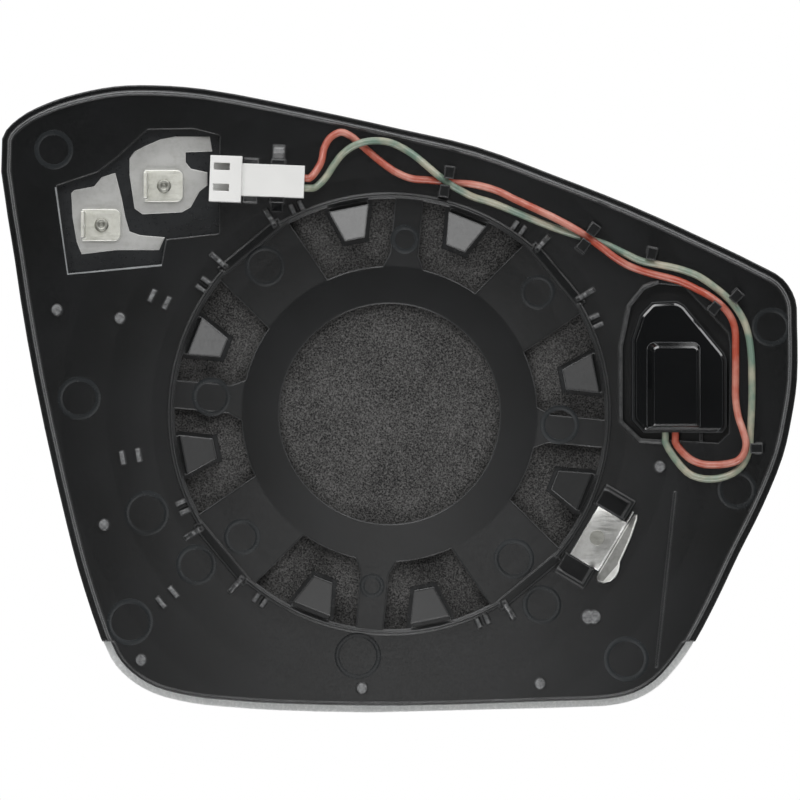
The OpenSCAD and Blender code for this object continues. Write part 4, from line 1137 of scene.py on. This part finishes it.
@dataclass
class SpringClip(Assembly):
    """The bent spring sheet that is riveted beside the seat ring: flat foot, channel and leaning leaf."""

    radius: float = 58.4
    angle: float = -30.8
    lift: float = 0.8
    length: float = 13.4
    width: float = 8.0
    sheet: float = 0.5
    gap: float = 0.35
    # Width of the leaf's rim that keeps the bright sheet as painted highlight
    rim: float = 0.3
    burr: float = 0.35
    burr_end: float = 9.8
    lean: float = 0.62
    bend_low: float = -0.55
    bend_wall: float = 0.3
    rise: float = 0.15
    rise_lean: float = 0.36
    # Line between the leaf's painted shade and its tab of painted highlight: distance out, and place along
    tab_line: tuple = ((3.46, -1.9), (2.3, -8.6))
    # Outline of the leaf: distance out from the foot's outer edge, and place along it
    leaf: tuple = ((0.35, 8.2), (0.6, 9.3), (1.3, 9.6), (1.8, 8.6), (2.7, 4.4), (3.2, 0.4), (3.45, -2.3),
                   (3.9, -3.1), (4.3, -4.3), (4.35, -5.8), (3.8, -7.3), (2.7, -8.5), (1.5, -9.0),
                   (0.7, -8.7), (0.35, -8.0))

    def build(self) -> None:
        """Builds the clip in the place of its CAD node and dresses its rivet."""
        shape = bmesh.new()
        half, end, t = self.width / 2, self.length / 2, self.sheet
        edge = half - t / 2
        self._slab(shape, box(-half, edge, -end, end), 0.0, t)
        self._slab(shape, [(edge + out, along) for out, along in self.leaf], 0.1, 0.1 + t, Side.LEAF_SHADE,
                   self.lean, edge)
        # The sheet rises a little to the bend, which catches the light along the foot's outer edge
        burr = half - self.burr
        self._slab(shape, box(burr, half, -end, self.burr_end), t - self.rise, t,
                   lean=self.rise_lean, start=burr)
        # The bend itself: two walls and a floor, painted black as shade
        inner, outer = edge - self.bend_wall, edge + self.gap
        end -= 1
        for out, high in ((inner, t / 2), (outer, t)):
            self._slab(shape, box(out, out + self.bend_wall, -end, end), self.bend_low, high, Side.BEND_SHADE)
        self._slab(shape, box(inner, outer + self.bend_wall, -end, end), self.bend_low - 0.1,
                   self.bend_low + 0.1, Side.BEND_SHADE)
        lift = self.form.bow(self.radius, 0.0) + self.lift
        place = (Matrix.Rotation(math.radians(self.angle), 4, "Z")
                 @ Matrix.Translation((self.radius * MM, 0.0, lift * MM)))
        bmesh.ops.transform(shape, matrix=place, verts=shape.verts)
        hand_over(shape, "spring_clip_bent", (Finish.SPRING, Finish.LEAF, Finish.BEND_SHADE),
                  ("spring_clip",), sharp=40.0)
        dress(spring_rivet=Finish.RIVET)

    def _slab(self, shape: BMesh, loop: list, low: float, high: float, look: Side = Side.BRIGHT,
              lean: float = 0.0, start: float = 0.0) -> None:
        """Adds one run of the sheet with rounded edges.

        Args:
            shape: the mesh that it goes into.
            loop: its corners, in millimetres.
            low: height of its underside.
            high: height of its top.
            look: its look.
            lean: how far it rises for each millimetre outwards.
            start: how far out it starts to rise.
        """
        part = bmesh.new()
        extruded(part, loop, low, high)
        rounded(part, [e for e in part.edges if abs(e.verts[0].co.z - e.verts[1].co.z) < 1e-6], 0.1, 2)
        for f in part.faces:
            f.material_index = look
        # Only the leaf is painted darker as shade; its rim and tab keep the bright sheet as painted highlight
        if look is Side.LEAF_SHADE:
            self._brighten(part, start)
        for v in part.verts:
            v.co.z += lean * max(0.0, v.co.x - start * MM)
        absorb(shape, part)

    def _brighten(self, part: BMesh, foot: float) -> None:
        """Paints a bright highlight on the leaf's rim and tab, where its painted shade is left off.

        Args:
            part: the leaf.
            foot: place of the foot's outer edge, in millimetres.
        """
        first, last = (Vector(((foot + out) * MM, along * MM, 0.0)) for out, along in self.tab_line)
        side = Vector((first.y - last.y, last.x - first.x, 0.0))
        ring = bmesh.ops.inset_region(part, faces=[top_face(part)], thickness=self.rim * MM,
                                      use_even_offset=True)
        for f in ring["faces"]:
            f.material_index = Side.BRIGHT
        bmesh.ops.bisect_plane(part, geom=whole(part), dist=1e-7, plane_co=first, plane_no=side)
        for f in part.faces:
            if side.dot(f.calc_center_median() - first) > 0:
                f.material_index = Side.BRIGHT


@dataclass(frozen=True)
class SoftBox:
    """A soft box aimed at the middle of the part, which the camera itself doesn't see."""

    name: str
    azimuth: float
    polar: float
    distance: float
    width: float
    height: float
    radiance: float

    def hang(self) -> None:
        """Makes the lamp, with the power that gives its face the wanted radiance."""
        data = bpy.data.lights.new(self.name, "AREA")
        data.shape = "RECTANGLE"
        data.size, data.size_y = self.width * MM, self.height * MM
        data.energy = self.radiance * math.pi * self.width * self.height * MM * MM
        lamp = placed(self.name, data)
        a, b = math.radians(self.azimuth), math.radians(self.polar)
        way = Vector((math.cos(a) * math.sin(b), math.sin(a) * math.sin(b), math.cos(b)))
        lamp.location = way * self.distance * MM
        lamp.rotation_euler = (-way).to_track_quat("-Z", "Y").to_euler()
        lamp.visible_camera = False


@dataclass
class Studio:
    """Paper floor, soft lights, world and the camera straight above the part."""

    centre: tuple = (2.52, 3.36)
    span: float = 192.0
    camera_h: float = 1600.0
    rim_h: float = 2.0
    sensor: float = 36.0
    air: float = 0.06
    # Half the floor's side and its gap under the part, in metres
    floor: float = 1.4
    floor_gap: float = 0.0001
    # The first lamp shines back from the flat plate to the camera, the next seven from the sloping heads
    # of the snap hooks, and the last three light all that is pale
    lamps: tuple = (
        SoftBox("overhead", 270.0, 7.0, 400.0, 60.0, 140.0, 1.3),
        SoftBox("back_left", 104.0, 39.0, 700.0, 240.0, 220.0, 6.0),
        SoftBox("back_right", 70.0, 39.0, 700.0, 200.0, 220.0, 5.0),
        SoftBox("left", 157.0, 38.0, 700.0, 170.0, 200.0, 3.9),
        SoftBox("left_low", 192.0, 38.0, 700.0, 170.0, 200.0, 1.3),
        SoftBox("right", 14.0, 38.0, 700.0, 170.0, 200.0, 1.9),
        SoftBox("right_low", 338.0, 38.0, 700.0, 170.0, 200.0, 0.7),
        SoftBox("front", 263.0, 39.0, 700.0, 400.0, 200.0, 1.6),
        SoftBox("low_left", 115.0, 66.0, 800.0, 760.0, 200.0, 5.2),
        SoftBox("low_right", 52.0, 66.0, 800.0, 800.0, 200.0, 3.9),
        SoftBox("low_front", 270.0, 56.0, 800.0, 600.0, 240.0, 6.6))

    def build(self) -> None:
        """Builds the studio."""
        self._floor()
        self._camera()
        for lamp in self.lamps:
            lamp.hang()
        world = bpy.data.worlds.new("studio_air")
        bpy.context.scene.world = world
        world.use_nodes = True
        back = world.node_tree.nodes["Background"]
        back.inputs["Color"].default_value = linear("#f4f5f6")
        back.inputs["Strength"].default_value = self.air
        bpy.context.scene.view_settings.view_transform = "Standard"

    def _floor(self) -> None:
        """Lays the paper under the part."""
        shape = bmesh.new()
        bmesh.ops.create_grid(shape, x_segments=8, y_segments=8, size=self.floor)
        bmesh.ops.translate(shape, verts=shape.verts, vec=(0.0, 0.0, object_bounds()[0].z - self.floor_gap))
        mesh = bpy.data.meshes.new("paper_floor")
        shape.to_mesh(mesh)
        shape.free()
        mesh.materials.append(material(Finish.PAPER))
        placed("paper_floor", mesh)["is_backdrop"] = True

    def _camera(self) -> None:
        """Sets the camera straight above, with the photograph's frame on the rim."""
        data = bpy.data.cameras.new("camera")
        data.sensor_width = self.sensor
        data.lens = self.sensor * (self.camera_h - self.rim_h) / self.span
        data.clip_start, data.clip_end = 0.05, 20.0
        camera = placed("camera", data)
        camera.location = (self.centre[0] * MM, self.centre[1] * MM, self.camera_h * MM)
        bpy.context.scene.camera = camera


def main() -> None:
    """Builds every sub-assembly in order, then the studio."""
    logging.basicConfig(level=logging.INFO, format="%(name)s %(message)s")
    form = Form()
    connector, indicator = Connector(form), Indicator(form)
    for assembly in (MirrorPane(form), Carrier(form), Heater(form), connector, indicator,
                     Wires(form, connector, indicator), SpringClip(form)):
        log.info("building %s", type(assembly).__name__)
        assembly.build()
    Studio().build()


if __name__ == "__main__":
    main()
